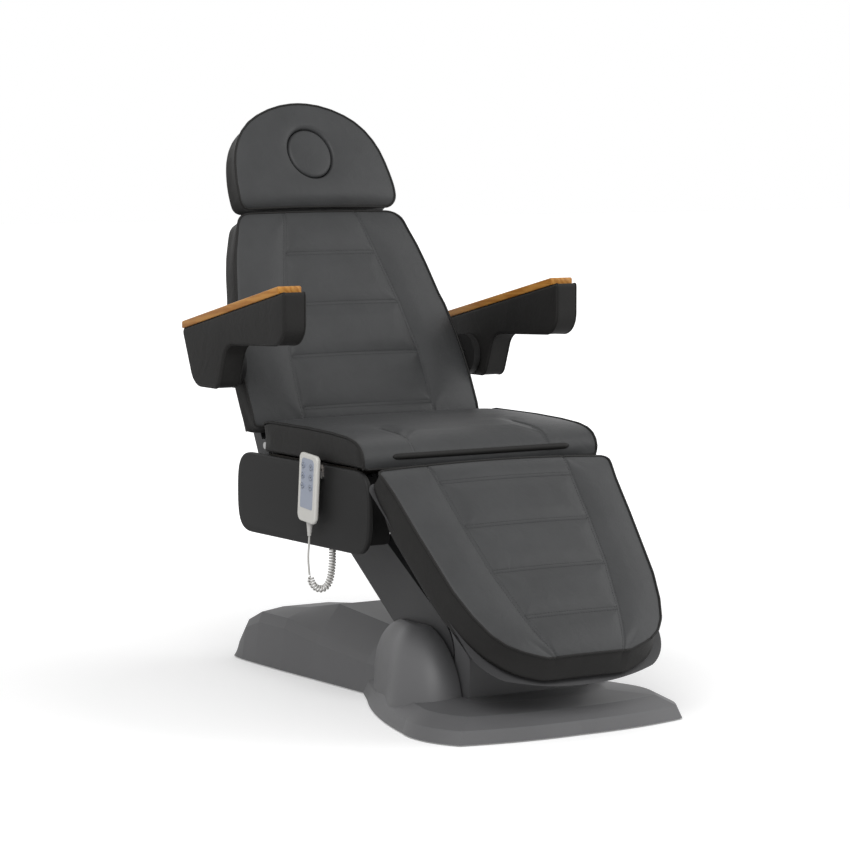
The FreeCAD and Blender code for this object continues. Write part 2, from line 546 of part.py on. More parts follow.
def make_base_cover():
    wall = size("cover_wall")
    outer = tail_solid(0).fuse([nose_solid(0), cheek_solid(0)])
    inner = tail_solid(wall).fuse([nose_solid(wall), cheek_solid(wall)])
    over = size("cut_over")
    slot_half = size("cheek_in")
    slot_front = size("cowl_front")
    slot_rear = size("slot_rear")
    slot = Part.makeBox(2 * slot_half, slot_rear - slot_front, size("ridge_top") + size("cheek_top"),
                        vec(-slot_half, slot_front, -over))
    rod_half = size("rod_slot_half")
    rod_slot = Part.makeBox(2 * rod_half, size("rod_slot_rear") - slot_front,
                            size("ridge_top") + size("cheek_top"),
                            vec(-rod_half, slot_front, -over))
    slot = slot.fuse(rod_slot)
    rear_wall = size("tail_rear") - wall * 4
    mouth = Part.makeBox(size("inlet_w") + 2 * size("part_gap"), wall * 8,
                         size("inlet_h") + 2 * size("part_gap"),
                         vec(-size("inlet_w") / 2 - size("part_gap"), rear_wall,
                             size("inlet_z") - size("inlet_h") / 2 - size("part_gap")))
    node("base_cover", solid("BaseCover", outer.cut(inner).cut(slot).cut(mouth).removeSplitter()))
    inlet = box("InletBody", "inlet_w", "inlet_d", "inlet_h", "-inlet_w / 2",
                "rear_bar_y + rail_w / 2", "inlet_z - inlet_h / 2")
    well = box("InletWell", "inlet_w - 2 * inlet_lip", "inlet_d", "inlet_h - 2 * inlet_lip",
               "-inlet_w / 2 + inlet_lip", "rear_bar_y + rail_w / 2 + inlet_d / 2",
               "inlet_z - inlet_h / 2 + inlet_lip")
    node("mains_inlet", cut("MainsInlet", inlet, [well]))
    # the cowl in front of the lift arm: upright face, sloping top, hollow that the arm's rounded end turns in
    cowl = plate("CowlBlock", [("cowl_front", "cowl_low"),
                               ("pivot_y - shell_low_r * cowl_back_share", "cowl_low"),
                               ("pivot_y - shell_low_r * cowl_back_share", "pivot_z - shell_low_r"),
                               ("cowl_slope_y", "cowl_slope_z"), ("cowl_front", "cowl_top")],
                 "2 * cowl_half", "0", {"cowl_edge": [4]})
    swing = across("CowlSwing", "shell_low_r + swing_gap", "cheek_in", "pivot_y", "pivot_z")
    inside = plate("CowlInside", [("cowl_front + cover_wall", "cowl_low - cut_over"),
                                  ("pivot_y", "cowl_low - cut_over"),
                                  ("pivot_y", "cowl_slope_z - 2 * cover_wall"),
                                  ("cowl_slope_y", "cowl_slope_z - 2 * cover_wall"),
                                  ("cowl_front + cover_wall", "cowl_top - 2 * cover_wall")],
                   "2 * (cowl_half - cover_wall)")
    node("front_cowl", cut("FrontCowl", cowl, [swing, inside]))


def make_lift_arm():
    plates = []
    for i, side in enumerate(PAIR):
        x = side % "arm_plate_x"
        plates.append(plate("ArmPlate%d" % i, [("pivot_y - arm_eye_r * eye_side_share",
                                                "pivot_z + arm_eye_r * eye_tall_share"),
                                               ("pivot_y + arm_eye_r * eye_wide_share",
                                                "pivot_z - arm_eye_r * eye_low_share"),
                                               (UPPER_Y + " + arm_eye_r * eye_side_share",
                                                UPPER_Z + " - arm_eye_r * eye_tall_share"),
                                               (UPPER_Y + " - arm_eye_r * eye_wide_share",
                                                UPPER_Z + " + arm_eye_r * eye_low_share")],
                            "link_plate_t", x, {"arm_eye_r * eye_wide_share": [0, 1, 2, 3]}))
    webs = []
    for i, (along, half) in enumerate((("arm_web_y0", "arm_plate_x"),
                                       ("arm_web_y1", "(shell_half - shell_wall)"))):
        y = "pivot_y + %s" % along
        z = "pivot_z + %s * lift_rise / lift_run" % along
        webs.append(across("ArmWeb%d" % i, "arm_web_t / 2", half, y, z))
    web_z = "pivot_z + arm_web_y0 * lift_rise / lift_run"
    lug = pair_of_plates("ArmLug", [("lift_lug_at_y - pin_r * 2", "lift_lug_at_z + pin_r * 2"),
                                    ("pivot_y + arm_web_y0 - arm_web_t / 2", web_z),
                                    ("pivot_y + arm_web_y0 + arm_web_t / 2", web_z),
                                    ("lift_lug_at_y + pin_r * 2", "lift_lug_at_z + pin_r * 2")],
                         "(lift_lug_gap + lift_lug_t) / 2", "lift_lug_t")
    pin = across("LiftPinHigh", "pin_r", "lift_lug_gap / 2 + lift_lug_t + part_gap", "lift_lug_at_y",
                 "lift_lug_at_z")
    holes = [across("ArmHoleLow", "shaft_r + running_gap", "seat_plate_x", "pivot_y", "pivot_z"),
             across("ArmHoleHigh", "shaft_r + running_gap", "seat_plate_x", UPPER_Y, UPPER_Z)]
    welded = fuse("ArmWelded", plates + webs + lug + [pin])
    node("lift_arm", cut("LiftArm", welded, holes))
    bars = []
    for i, side in enumerate(PAIR):
        bars.append(plate("TieBar%d" % i, [(TIE_Y + " - tie_eye_r * tie_side_share",
                                            TIE_Z + " + tie_eye_r * tie_side_share"),
                                           (TIE_Y + " + tie_eye_r * tie_wide_share",
                                            TIE_Z + " - tie_eye_r * tie_tall_share"),
                                           (TIE_UP_Y + " + tie_eye_r * tie_side_share",
                                            TIE_UP_Z + " - tie_eye_r * tie_side_share"),
                                           (TIE_UP_Y + " - tie_eye_r * tie_wide_share",
                                            TIE_UP_Z + " + tie_eye_r * tie_tall_share")],
                          "link_plate_t", side % "tie_plate_x", {"tie_eye_r * eye_wide_share": [0, 1, 2, 3]}))
    tie_holes = [across("TieHoleLow", "shaft_r + running_gap", "arm_plate_x", TIE_Y, TIE_Z),
                 across("TieHoleHigh", "shaft_r + part_gap", "arm_plate_x", TIE_UP_Y, TIE_UP_Z)]
    spacer = across("TieSpacer", "tie_eye_r / 2", "tie_plate_x",
                    "(%s + %s) / 2 + arm_web_y0" % (TIE_Y, TIE_UP_Y),
                    "(%s + %s) / 2 + arm_web_y0 * lift_rise / lift_run" % (TIE_Z, TIE_UP_Z))
    node("tie_arm", cut("TieArm", fuse("TieWelded", bars + [spacer]), tie_holes))
    make_arm_cover()


def side_prism(edges, half):
    """A face in the YZ plane, from its edges, carried across from -half to +half."""
    return Part.Face(Part.Wire(edges)).extrude(vec(2 * half, 0, 0)).translate(vec(-half, 0, 0))


def lines_through(points):
    return [Part.makeLine(a, b) for a, b in zip(points, points[1:])]


def make_arm_cover():
    """A moulded shell over the arms, open along its underside and at the seat end."""
    wall, over, half = size("shell_wall"), size("cut_over"), size("shell_half")
    low_r, high_r, back_r = size("shell_low_r"), size("shell_high_r"), size("shell_back_r")
    low = vec(0, size("pivot_y"), size("pivot_z"))
    high = low + vec(0, size("lift_run"), size("lift_rise"))
    run = vec(0, high.y - low.y, high.z - low.z).normalize()
    up = vec(0, -run.z, run.y)
    slant = (up - AXIS_Y).normalize()
    heel = low - up * back_r * HEEL_SHARE
    nose, crest = low - AXIS_Y * low_r, low + up * low_r
    front = Part.Arc(crest, low + slant * low_r, nose).toShape()
    end = Part.Arc(high - up * back_r, high + run * high_r, high + up * high_r).toShape()
    outer = side_prism([front] + lines_through([nose, heel, high - up * back_r]) + [end]
                       + lines_through([high + up * high_r, crest]), half)
    inner_r = low_r - wall
    inner_nose, inner_crest = low - AXIS_Y * inner_r, low + up * inner_r
    mouth = high + run * (high_r + over)
    below = up * (back_r * HEEL_SHARE + over)
    path = [inner_nose, inner_nose - AXIS_Z * (back_r * HEEL_SHARE + low_r), mouth - below,
            mouth + up * (high_r - wall), inner_crest]
    bend = Part.Arc(inner_crest, low + slant * inner_r, inner_nose).toShape()
    inner = side_prism([bend] + lines_through(path), half - wall)
    room = size("cheek_in") - size("shell_room") / 2
    start = high - run * size("shell_notch")
    past = high + run * (high_r + over)
    ring = [start, past, past + up * (high_r + over), start + up * (high_r + low_r), start]
    notch = side_prism(lines_through(ring), room)
    node("arm_cover", solid("ArmCover", outer.cut(inner).cut(notch)))


# Seat: welded carriage, board, cushion, side panels, hook, gland, pins
def make_seat():
    rail_low = "(seat_low - board_t - seat_rail_h)"
    rails = pair_of_boxes("SeatRail", "seat_rail_x", "seat_rail_w", "seat_rail_rear - seat_rail_front",
                          "seat_rail_h",
                          "seat_rail_front", rail_low)
    bars = []
    for name, y in (("SeatBarFront", "seat_rail_front"), ("SeatBarMid", "carrier_y0"),
                    ("SeatBarMidFront", "carrier_y1")):
        bars.append(box(name, "2 * seat_rail_x", "seat_rail_w", "seat_bar_h", "-seat_rail_x", y,
                        rail_low + " + seat_rail_h - seat_bar_h"))
    carriers = pair_of_plates("SeatCarrier", [("carrier_y1", rail_low + " + seat_rail_h"),
                                              (TIE_UP_Y + " - arm_eye_r", TIE_UP_Z),
                                              (UPPER_Y + " - arm_eye_r", "carrier_low"),
                                              (UPPER_Y + " + arm_eye_r", "carrier_low"),
                                              ("carrier_y0 + seat_rail_w", rail_low + " + seat_rail_h")],
                              "seat_plate_x", "link_plate_t", {"arm_eye_r / 2": [2, 3]})
    ears = []
    for i, side in enumerate(PAIR):
        x = side % "(seat_rail_x + seat_rail_w / 2 + ear_t / 2)"
        ears.append(plate("BackEar%d" % i, [("seat_rail_rear - seat_rail_w", rail_low),
                                            ("back_hinge_y + ear_r", "back_hinge_z - ear_r"),
                                            ("back_hinge_y + ear_r", "back_hinge_z + ear_r * ear_top_share"),
                                            ("back_hinge_y - ear_r * ear_front_share",
                                             "back_hinge_z + ear_r * ear_top_share"),
                                            ("seat_rail_rear + ear_gap", rail_low + " + seat_rail_h"),
                                            ("seat_rail_rear - seat_rail_w", rail_low + " + seat_rail_h")],
                          "ear_t", x, {"ear_r * ear_front_share": [2, 3]}))
        x = side % "(seat_rail_x - seat_rail_w / 2 - ear_t / 2)"
        ears.append(plate("LegEar%d" % i, [("seat_rail_front + seat_rail_w", rail_low),
                                           ("seat_rail_front + seat_rail_w", rail_low + " + seat_rail_h"),
                                           ("board_front - 2 * part_gap", rail_low + " + seat_rail_h"),
                                           ("leg_hinge_y - pin_r", "seat_low - board_t + pin_r"),
                                           ("leg_hinge_y - pin_r * 2", "leg_hinge_z - pin_r"),
                                           ("leg_hinge_y - pin_r", rail_low)], "ear_t", x))
    struts = []
    for name, x, y, z in (("BackAct", "back_act_x", "back_pin_y", "back_pin_z"),
                          ("LegAct", "leg_act_x", "leg_pin_y", "leg_pin_z")):
        for i, side in enumerate(("+", "-")):
            at = "%s %s (lift_lug_gap + lift_lug_t) / 2" % (x, side)
            struts.append(plate("%sLug%d" % (name, i), [("%s - lift_lug_r" % y, "seat_low - board_t"),
                                                        ("%s - lift_lug_r" % y, "%s - lift_lug_r" % z),
                                                        ("%s + lift_lug_r" % y, "%s - lift_lug_r" % z),
                                                        ("%s + lift_lug_r" % y, "seat_low - board_t")],
                                "lift_lug_t", at, {"lift_lug_r * lug_end_share": [1, 2]}))
        struts.append(box("%sBar" % name, "2 * seat_rail_x", "2 * lift_lug_r", "seat_rail_h / 4",
                          "-seat_rail_x",
                          "%s - lift_lug_r" % y, "seat_low - board_t - seat_rail_h / 4"))
        struts.append(rod("%sPin" % name, "x", "pin_r", "lift_lug_gap + 2 * lift_lug_t",
                          "%s - lift_lug_gap / 2 - lift_lug_t" % x, y, z))
    stays = []
    for i, side in enumerate(PAIR):
        start = "seat_rail_x" if i == 0 else "-(seat_half - panel_t)"
        for j, sign in enumerate(("", "-")):
            stays.append(box("PanelStay%d%d" % (i, j), "seat_half - panel_t - seat_rail_x", "panel_stay_t",
                             "seat_rail_h / 2", start, "%spanel_stay_y" % sign, rail_low))
    holes = [across("SeatHoleLow", "shaft_r", "seat_rail_x - seat_rail_w", UPPER_Y, UPPER_Z),
             across("SeatHoleTie", "shaft_r", "seat_rail_x - seat_rail_w", TIE_UP_Y, TIE_UP_Z),
             across("SeatHoleBack", "hinge_pin_r", "seat_half", "back_hinge_y", "back_hinge_z"),
             across("SeatHoleLeg", "pin_r", "seat_half", "leg_hinge_y", "leg_hinge_z")]
    node("seat_frame", cut("SeatFrame", fuse("SeatWelded", rails + bars + carriers + ears + struts + stays),
                           holes))
    shafts = []
    for name, y, z in (("Low", UPPER_Y, UPPER_Z), ("Tie", TIE_UP_Y, TIE_UP_Z)):
        half = "(seat_plate_x + link_plate_t / 2)"
        bar = across("UpperShaft" + name, "shaft_r", half, y, z)
        heads = [rod("UpperHead%s%d" % (name, i), "x", "shaft_head_r", "shaft_head_t", x, y, z)
                 for i, x in enumerate((half, "-%s - shaft_head_t" % half))]
        shafts.append(fuse("UpperShaftWhole" + name, [bar] + heads))
    node("upper_pivot_shafts", group("UpperShafts", shafts))
    pins = []
    for name, near, far, radius, y, z in (
            ("Back", "(back_tube_x - back_tube / 2 - ear_gap)", "(seat_rail_x + seat_rail_w / 2 + ear_t)",
             "hinge_pin_r",
             "back_hinge_y", "back_hinge_z"),
            ("Leg", "(leg_tube_x - leg_tube / 2 - ear_gap)", "(seat_rail_x - seat_rail_w / 2)", "pin_r",
             "leg_hinge_y",
             "leg_hinge_z")):
        for i, start in enumerate((near, "-" + far)):
            pins.append(rod("%sHinge%d" % (name, i), "x", radius, "%s - %s" % (far, near), start, y, z))
    node("hinge_pins", group("HingePins", pins))
    node("seat_board", box("SeatBoard", "2 * (seat_half - board_inset)",
                           "seat_rear_top - board_inset - board_front",
                           "board_t", "board_inset - seat_half", "board_front", "seat_low - board_t"))
    make_seat_cushion()
    make_side_panels()


def make_seat_cushion():
    """A boxed seat with a crowned top, a rolled front edge, drawn-in sides and two sewn lines."""
    half, low, top = size("seat_half"), size("seat_low"), size("seat_top")
    front, roll = size("seat_front"), size("seat_roll")
    drop, crown = size("seat_front_drop"), size("seat_crown")
    bend, part_drop = ROUND_SHARE, drop * SEAT_SHARES["drop"]
    corner_top = vec(0, front + roll, top - part_drop)
    face_low = vec(0, front, top - drop - roll)
    via = vec(0, front + roll * bend, top - part_drop - roll * bend - drop * SEAT_SHARES["dip"])
    arc = Part.Arc(corner_top, via, face_low).toShape()
    rear_top, rear_low = vec(0, size("seat_rear_top"), top), vec(0, size("seat_rear_low"), low)
    middle = vec(0, (front + size("seat_rear_top")) / 2, top)
    top_arc = Part.Arc(rear_top, middle, corner_top).toShape() if drop else Part.makeLine(rear_top,
                                                                                          corner_top)
    edges = [arc] + lines_through([face_low, vec(0, front + size("side_draw"), low), rear_low,
                                   rear_top]) + [top_arc]
    block = side_prism(edges, half)
    lying = crown_bar(half, top, crown, low - crown, front - half, size("seat_rear_low") + half)
    draw = size("side_draw")
    waist = half - draw
    band = [vec(half, front - half, top + crown), vec(half, front - half, top - crown),
            vec(waist, front - half, (top + low) / 2), vec(waist + draw / 2, front - half, low - crown)]
    band = band + [vec(-p.x, p.y, p.z) for p in reversed(band)]
    bounds = Part.Face(Part.makePolygon(band + band[:1])).extrude(vec(0, 3 * half, 0))
    shape = block.common(lying).common(bounds)
    radius, depth = size("channel_r"), size("channel_depth")
    for side in (1, -1):
        x = side * size("seat_stitch_x")
        high = top - crown * (x / half) ** 2 + radius - depth
        start = vec(x, front + roll, high - part_drop)
        far = start + vec(0, size("seat_stitch_len"), part_drop)
        dip = vec(x, front - radius + depth, top - drop - roll)
        shape = shape.cut(sunk_bar(Part.makePolygon([far, start, dip]), far, start - far, radius))
    node("seat_cushion", solid("SeatCushion", shape))


def make_side_panels():
    top, low = size("panel_top"), size("panel_low")
    front, rear = size("panel_front"), size("panel_rear")
    end_top, end_low = size("panel_end_top"), size("panel_end_low")
    middle = (top + low) / 2
    corner = size("panel_corner")
    front_top, front_low = vec(0, front + end_top, top - corner), vec(0, front + end_low, low + corner)
    rear_top, rear_low = vec(0, rear - end_top - corner, top), vec(0, rear - end_low, low)
    bulge = [Part.Arc(front_top, vec(0, front, middle), front_low).toShape(),
             Part.Arc(rear_low, vec(0, rear, middle), rear_top).toShape()]
    turned = vec(0, front + end_low + corner, low)
    up_turned = vec(0, front + end_top + corner, top)
    low_bend = Part.makeLine(front_low, turned)
    top_bend = Part.makeLine(up_turned, front_top)
    wire = Part.Wire([bulge[0], low_bend, Part.makeLine(turned, rear_low), bulge[1],
                      Part.makeLine(rear_top, up_turned), top_bend])
    thick = size("panel_t")
    right = Part.Face(wire).extrude(vec(thick, 0, 0)).translate(vec(size("seat_half") - thick, 0, 0))
    node("left_side_panel", solid("LeftPanel", right))
    node("right_side_panel", solid("RightPanel", right.mirror(vec(0, 0), AXIS_X)))
    # the handset's hook is a bent strip on the sitter's right: wall plate, ledge, lip
    back = box("HookPlate", "hook_t", "hook_w", "hook_plate", "-seat_half - hook_t", "hook_y - hook_w / 2",
               "hook_z")
    ledge = box("HookLedge", "hook_reach", "hook_w", "hook_t", "-seat_half - hook_reach",
                "hook_y - hook_w / 2", "hook_z")
    lip = box("HookLip", "hook_t", "hook_w", "hook_lip", "-seat_half - hook_reach", "hook_y - hook_w / 2",
              "hook_z")
    node("handset_hook", fuse("HandsetHook", [back, ledge, lip]))


# Back: frame, board, cushion, arm brackets
def in_back(thing):
    """Stand a piece that was made flat at the hinge of the back."""
    thing.Placement = FreeCAD.Placement(vec(0, 0), FreeCAD.Rotation(AXIS_X, size("back_angle")))
    bind(thing, Placement__Rotation__Angle="back_angle")
    return place(thing, "0", "back_hinge_y", "back_hinge_z")


def set_in_back(label, thing):
    """Carry a flat bound piece into the back's place."""
    holder = group(label + "_placed", [thing])
    return node(label, in_back(holder))


def back_edges(shrink=0.0):
    half, mid = size("back_half") - shrink, size("back_half_mid") - shrink
    high = size("back_half_top") - shrink
    low, middle, top = size("back_low") + shrink, size("back_mid"), size("back_top") - shrink
    corner = size("back_corner")
    bow, high_bow = BACK_SHARES["low_bow"], BACK_SHARES["high_bow"]
    return half_outline([(0, low), (half, low), (mid, middle, half - (half - mid) * bow,
                                                 low + (middle - low) / 2),
                         (high, top - corner, mid - (mid - high) * high_bow,
                          middle + (top - corner - middle) / 2),
                         (high - corner, top, high - corner * bow, top - corner * bow), (0, top)])


def make_back():
    half, face, depth = size("back_half"), size("back_face"), size("back_depth")
    low, top, crown = size("back_low"), size("back_top"), size("back_crown")
    rear = face - depth
    shape = cushion(back_edges(), rear, face, crown, size("side_draw"), half, (low + top) / 2,
                    (low - half, top + half))
    high_at = crown_at(face, crown, half)
    radius, sunk = size("channel_r"), size("channel_depth")
    steps = [size("back_stitch_0") + size("back_stitch_step") * i for i in range(4)]
    wide, narrow = size("back_stitch_low"), size("back_stitch_high")
    over = size("cut_over")

    def spread(y):
        return wide - (wide - narrow) * max(0, (y - steps[0]) / (top - steps[0])) ** 2
    bars = [sewn_bow(spread(y), y, high_at, radius, sunk) for y in steps]
    for side in (1, -1):
        bars.append(sewn_line([(side * spread(y), y) for y in [low - over] + steps + [top + over]], high_at,
                              radius, sunk))
    for bar in bars:
        shape = shape.cut(bar)
    node("back_cushion", in_back(solid("BackCushion", shape)))
    board = size("board_t")
    wire = outline_wire(back_edges(size("board_inset")), rear - board)
    node("back_board", in_back(solid("BackBoard", Part.Face(wire).extrude(vec(0, 0, board)))))
    # frame behind the board: two tubes with eyes round the hinge pins, two cross bars, a lug, two rod sockets
    level = "(back_face - back_depth - board_t - back_tube)"
    tubes = pair_of_boxes("BackTube", "back_tube_x", "back_tube", "back_tube_top", "back_tube",
                          "-ear_r * ear_rise_share", level)
    bars = [box("BackBar%d" % i, "2 * back_tube_x", "back_tube", "back_tube", "-back_tube_x", y, level)
            for i, y in enumerate(("2 * back_tube", "back_tube_top - ear_r - back_tube"))]
    eyes = []
    for i, side in enumerate(PAIR):
        x = "%s - back_tube / 2" % (side % "back_tube_x")
        eyes.append(rod("BackEye%d" % i, "x", "ear_r", "back_tube", x, "0", "0"))
        eyes.append(box("BackWeb%d" % i, "back_tube", "ear_r * ear_reach_share", "-(%s)" % level, x,
                        "-ear_r * ear_rise_share", level))
    lugs = []
    for i, side in enumerate(("+", "-")):
        at = "back_act_x %s (lift_lug_gap + lift_lug_t) / 2" % side
        lugs.append(plate("BackLug%d" % i, [("2 * back_tube", level + " + back_tube * lug_weld_share"),
                                            ("3 * back_tube", level + " + back_tube * lug_weld_share"),
                                            ("3 * back_tube", level),
                                            ("back_lug_y + lift_lug_r", "back_lug_n - lift_lug_r"),
                                            ("back_lug_y - lift_lug_r", "back_lug_n - lift_lug_r"),
                                            ("back_lug_y - lift_lug_r", "back_lug_n + lift_lug_r")],
                          "lift_lug_t", at))
    lugs.append(rod("BackPin", "x", "pin_r", "lift_lug_gap + 2 * lift_lug_t",
                    "back_act_x - lift_lug_gap / 2 - lift_lug_t", "back_lug_y", "back_lug_n"))
    sockets = [rod("HeadSocket%d" % i, "y", "socket_r", "socket_len", side % "head_rod_x",
                   "back_top - board_inset - socket_len",
                   "head_rod_n") for i, side in enumerate(PAIR)]
    mast_low = "(back_tube_top - ear_r - back_tube)"
    links = pair_of_boxes("HeadMast", "head_rod_x", "2 * socket_r", "back_top - board_inset - %s" % mast_low,
                          "back_tube",
                          mast_low, level)
    bores = [rod("HeadBore%d" % i, "y", "head_rod_r + running_gap", "2 * socket_len", side % "head_rod_x",
                 "back_top - 2 * socket_len", "head_rod_n") for i, side in enumerate(PAIR)]
    pin_hole = across("BackHole", "hinge_pin_r + running_gap", "seat_half", "0", "0")
    whole = cut("BackFrame", fuse("BackWelded", tubes + bars + eyes + lugs + sockets + links),
                bores + [pin_hole])
    set_in_back("back_frame", whole)
    make_arm_brackets(level)


def arm_hub():
    """The arm's pivot in the frame of the back: along it, out from it."""
    turn = math.radians(size("back_angle"))
    y, z = size("arm_pivot_y") - size("back_hinge_y"), size("arm_pivot_z") - size("back_hinge_z")
    return y * math.cos(turn) + z * math.sin(turn), z * math.cos(turn) - y * math.sin(turn)


def make_arm_brackets(level):
    along, out = arm_hub()
    hub_r, thick = size("arm_hub_r"), size("bracket_t")
    tab, tall = size("bracket_tab_t"), size("bracket_tab_h")
    behind = size("back_face") - size("back_depth") - size("board_t") - size("back_tube") - tab
    inner = size("bracket_x")
    hub = Part.makeCylinder(hub_r, thick, vec(inner, along, out), AXIS_X)
    tab_low = along - size("bracket_tab_low")
    plate_shape = Part.makeBox(thick, tall, out - behind, vec(inner, tab_low, behind))
    start = size("back_tube_x") - size("back_tube") / 2
    arm = Part.makeBox(inner + thick - start, tall, tab, vec(start, tab_low, behind))
    hole = Part.makeCylinder(size("arm_bolt_r"), 2 * thick, vec(inner - thick / 2, along, out), AXIS_X)
    right = hub.fuse([plate_shape, arm]).cut(hole).removeSplitter()
    node("left_arm_bracket", in_back(solid("LeftBracket", right)))
    node("right_arm_bracket", in_back(solid("RightBracket", right.mirror(vec(0, 0), AXIS_X))))
    bolts = []
    for i, side in enumerate(PAIR):
        reach = "(arm_in - bracket_x + core_t)"
        shank = rod("ArmBolt%d" % i, "x", "arm_bolt_r", reach,
                    "bracket_x" if i == 0 else "-bracket_x - %s" % reach,
                    "arm_pivot_y", "arm_pivot_z")
        bolts.append(shank)
    node("arm_pivot_bolts", group("ArmBolts", bolts))


# Headrest: two rods with a tilting block, board, cushion with an oval hole, plug
def head_edges(shrink=0.0):
    half, low, top = size("head_half") - shrink, size("head_low") + shrink, size("head_top") - shrink
    corner = size("head_corner")
    side, side_half = size("head_side"), size("head_side_half") - shrink
    high, high_half = size("head_high") - shrink, size("head_high_half") - shrink / 2
    wide = size("head_wide") + shrink
    bow = ROUND_SHARE
    dome, fall = HEAD_SHARES["dome"]
    return half_outline([(0, low), (half - corner, low),
                         (half, low + corner, half - corner * bow, low + corner * bow),
                         (half, wide), (high_half, high, side_half, side),
                         (0, top, high_half * dome,
                          top - shrink * HEAD_SHARES["inset"] - (top - high) * fall)])


def oval(scale_gap, low, high):
    """The round-ended prism of the face hole."""
    shape = Part.Ellipse(vec(0, size("plug_y"), low), size("plug_half_y") + scale_gap,
                         size("plug_half_x") + scale_gap).toShape()
    shape = Part.Wire([shape])
    shape.rotate(vec(0, size("plug_y"), low), AXIS_Z, 90)
    return Part.Face(shape).extrude(vec(0, 0, high - low))


def make_head():
    face, depth, crown = size("head_face"), size("head_depth"), size("head_crown")
    half, low, top = size("head_half"), size("head_low"), size("head_top")
    rear = face - depth
    shape = cushion(head_edges(), rear, face, crown, size("side_draw"), half, size("head_side"),
                    (low - half, top + half))
    over = size("cut_over")
    shape = shape.cut(oval(size("plug_gap"), face - size("plug_depth") - size("plug_gap"),
                           face + crown + over))
    node("head_cushion", in_back(solid("HeadCushion", shape)))
    board = size("head_board_t")
    wire = outline_wire(head_edges(size("head_board_inset")), rear - board)
    node("head_board", in_back(solid("HeadBoard", Part.Face(wire).extrude(vec(0, 0, board)))))
    crown_cut = crown_bar(half, face, crown, rear, low - half, top + half)
    plug = oval(0, face - size("plug_depth"), face + over).common(crown_cut)
    node("face_plug", in_back(solid("FacePlug", plug)))
    # the tilting block is screwed to the board and turns on the rods' cross bar
    block_low = "head_pivot_n - head_block / 2"
    block = box("HeadBlock", "2 * (head_rod_x - 2 * head_rod_r)", "2 * head_block",
                "head_face - head_depth - head_board_t - (%s)" % block_low, "2 * head_rod_r - head_rod_x",
                "head_pivot_y - head_block", block_low)
    bore = across("HeadBlockBore", "head_rod_r + running_gap", "head_rod_x", "head_pivot_y", "head_pivot_n")
    set_in_back("head_block", cut("HeadBlockBored", block, [bore]))
    rods = []
    for i, side in enumerate(PAIR):
        x = side % "head_rod_x"
        rods.append(rod("HeadRod%d" % i, "y", "head_rod_r", "head_pivot_y - back_top + head_rod_down",
                        x, "back_top - head_rod_down", "head_rod_n"))
        rods.append(rod("HeadRiser%d" % i, "z", "head_rod_r", "head_pivot_n - head_rod_n", x, "head_pivot_y",
                        "head_rod_n"))
    bar = across("HeadBar", "head_rod_r", "head_rod_x", "head_pivot_y", "head_pivot_n")
    set_in_back("head_rods", fuse("HeadRods", rods + [bar]))


# Arms: steel core, upholstered pad, wooden top
def make_arms():
    lift = "((wood_front_z - wood_rear_z) / (wood_rear_y - wood_front_y))"
    top_line = "(wood_rear_z + (wood_rear_y - (%s)) * " + lift + ")"
    wood = [("wood_rear_y", "wood_rear_z"), ("wood_front_y", "wood_front_z"),
            ("wood_front_y", "wood_front_z + arm_wood_t"), ("wood_rear_y", "wood_rear_z + arm_wood_t")]
    pad = [("pad_rear", top_line % "pad_rear"), ("pad_front", top_line % "pad_front"),
           ("pad_front", "pad_low"),
           ("pad_bend_y", "pad_low_rear"), ("lug_front", "lug_low"), ("lug_rear", "lug_low"),
           ("pad_rear", "pad_rear_low")]
    rounds = {"pad_nose_r": [2], "pad_bend_r": [3], "lug_front_r": [4], "lug_rear_r": [5]}
    for name, side in (("left", "%s"), ("right", "-(%s)")):
        middle = side % "((arm_in + arm_out) / 2)"
        top = plate(name.title() + "Wood", wood, "arm_out - arm_in", middle, {"pad_edge_r": [0, 1, 2, 3]})
        node(name + "_arm_wood", top)
        body = plate(name.title() + "Pad", pad, "arm_out - arm_in", middle, rounds)
        core_x = side % "(arm_in + core_t / 2)"
        pocket = plate(name.title() + "Pocket", core_points("part_gap"), "core_t + cut_over",
                       side % "(arm_in + core_t / 2 - cut_over / 2)")
        node(name + "_arm_pad", cut(name.title() + "PadCut", body, [pocket]))
        core = plate(name.title() + "Core", core_points("0"), "core_t", core_x)
        bore = rod(name.title() + "CoreBore", "x", "arm_bolt_r + running_gap", "4 * core_t",
                   "%s - 2 * core_t" % core_x, "arm_pivot_y", "arm_pivot_z")
        node(name + "_arm_core", cut(name.title() + "CoreBored", core, [bore]))


def core_points(grow):
    """The steel plate inside an arm: down the lug and forward under the wood."""
    spread = "(arm_bolt_head_r + core_t)"
    return [("arm_pivot_y + %s + %s" % (spread, grow), "arm_pivot_z - %s - %s" % (spread, grow)),
            ("arm_pivot_y + %s + %s" % (spread, grow), "pad_low + core_t + %s" % grow),
            ("wood_front_y + 4 * core_t - %s" % grow, "pad_low + 6 * core_t + %s" % grow),
            ("wood_front_y + 4 * core_t - %s" % grow, "pad_low + 2 * core_t - %s" % grow),
            ("arm_pivot_y - %s - %s" % (spread, grow), "pad_low - core_t - %s" % grow),
            ("arm_pivot_y - %s - %s" % (spread, grow), "arm_pivot_z - %s - %s" % (spread, grow))]


# Leg rest: frame, tray, cushion; made flat with the foot end towards -Y
def in_leg(thing):
    thing.Placement = FreeCAD.Placement(vec(0, 0), FreeCAD.Rotation(AXIS_X, size("leg_angle")))
    bind(thing, Placement__Rotation__Angle="leg_angle")
    return place(thing, "0", "leg_hinge_y", "leg_hinge_z")


def set_in_leg(label, thing):
    holder = group(label + "_placed", [thing])
    return node(label, in_leg(holder))


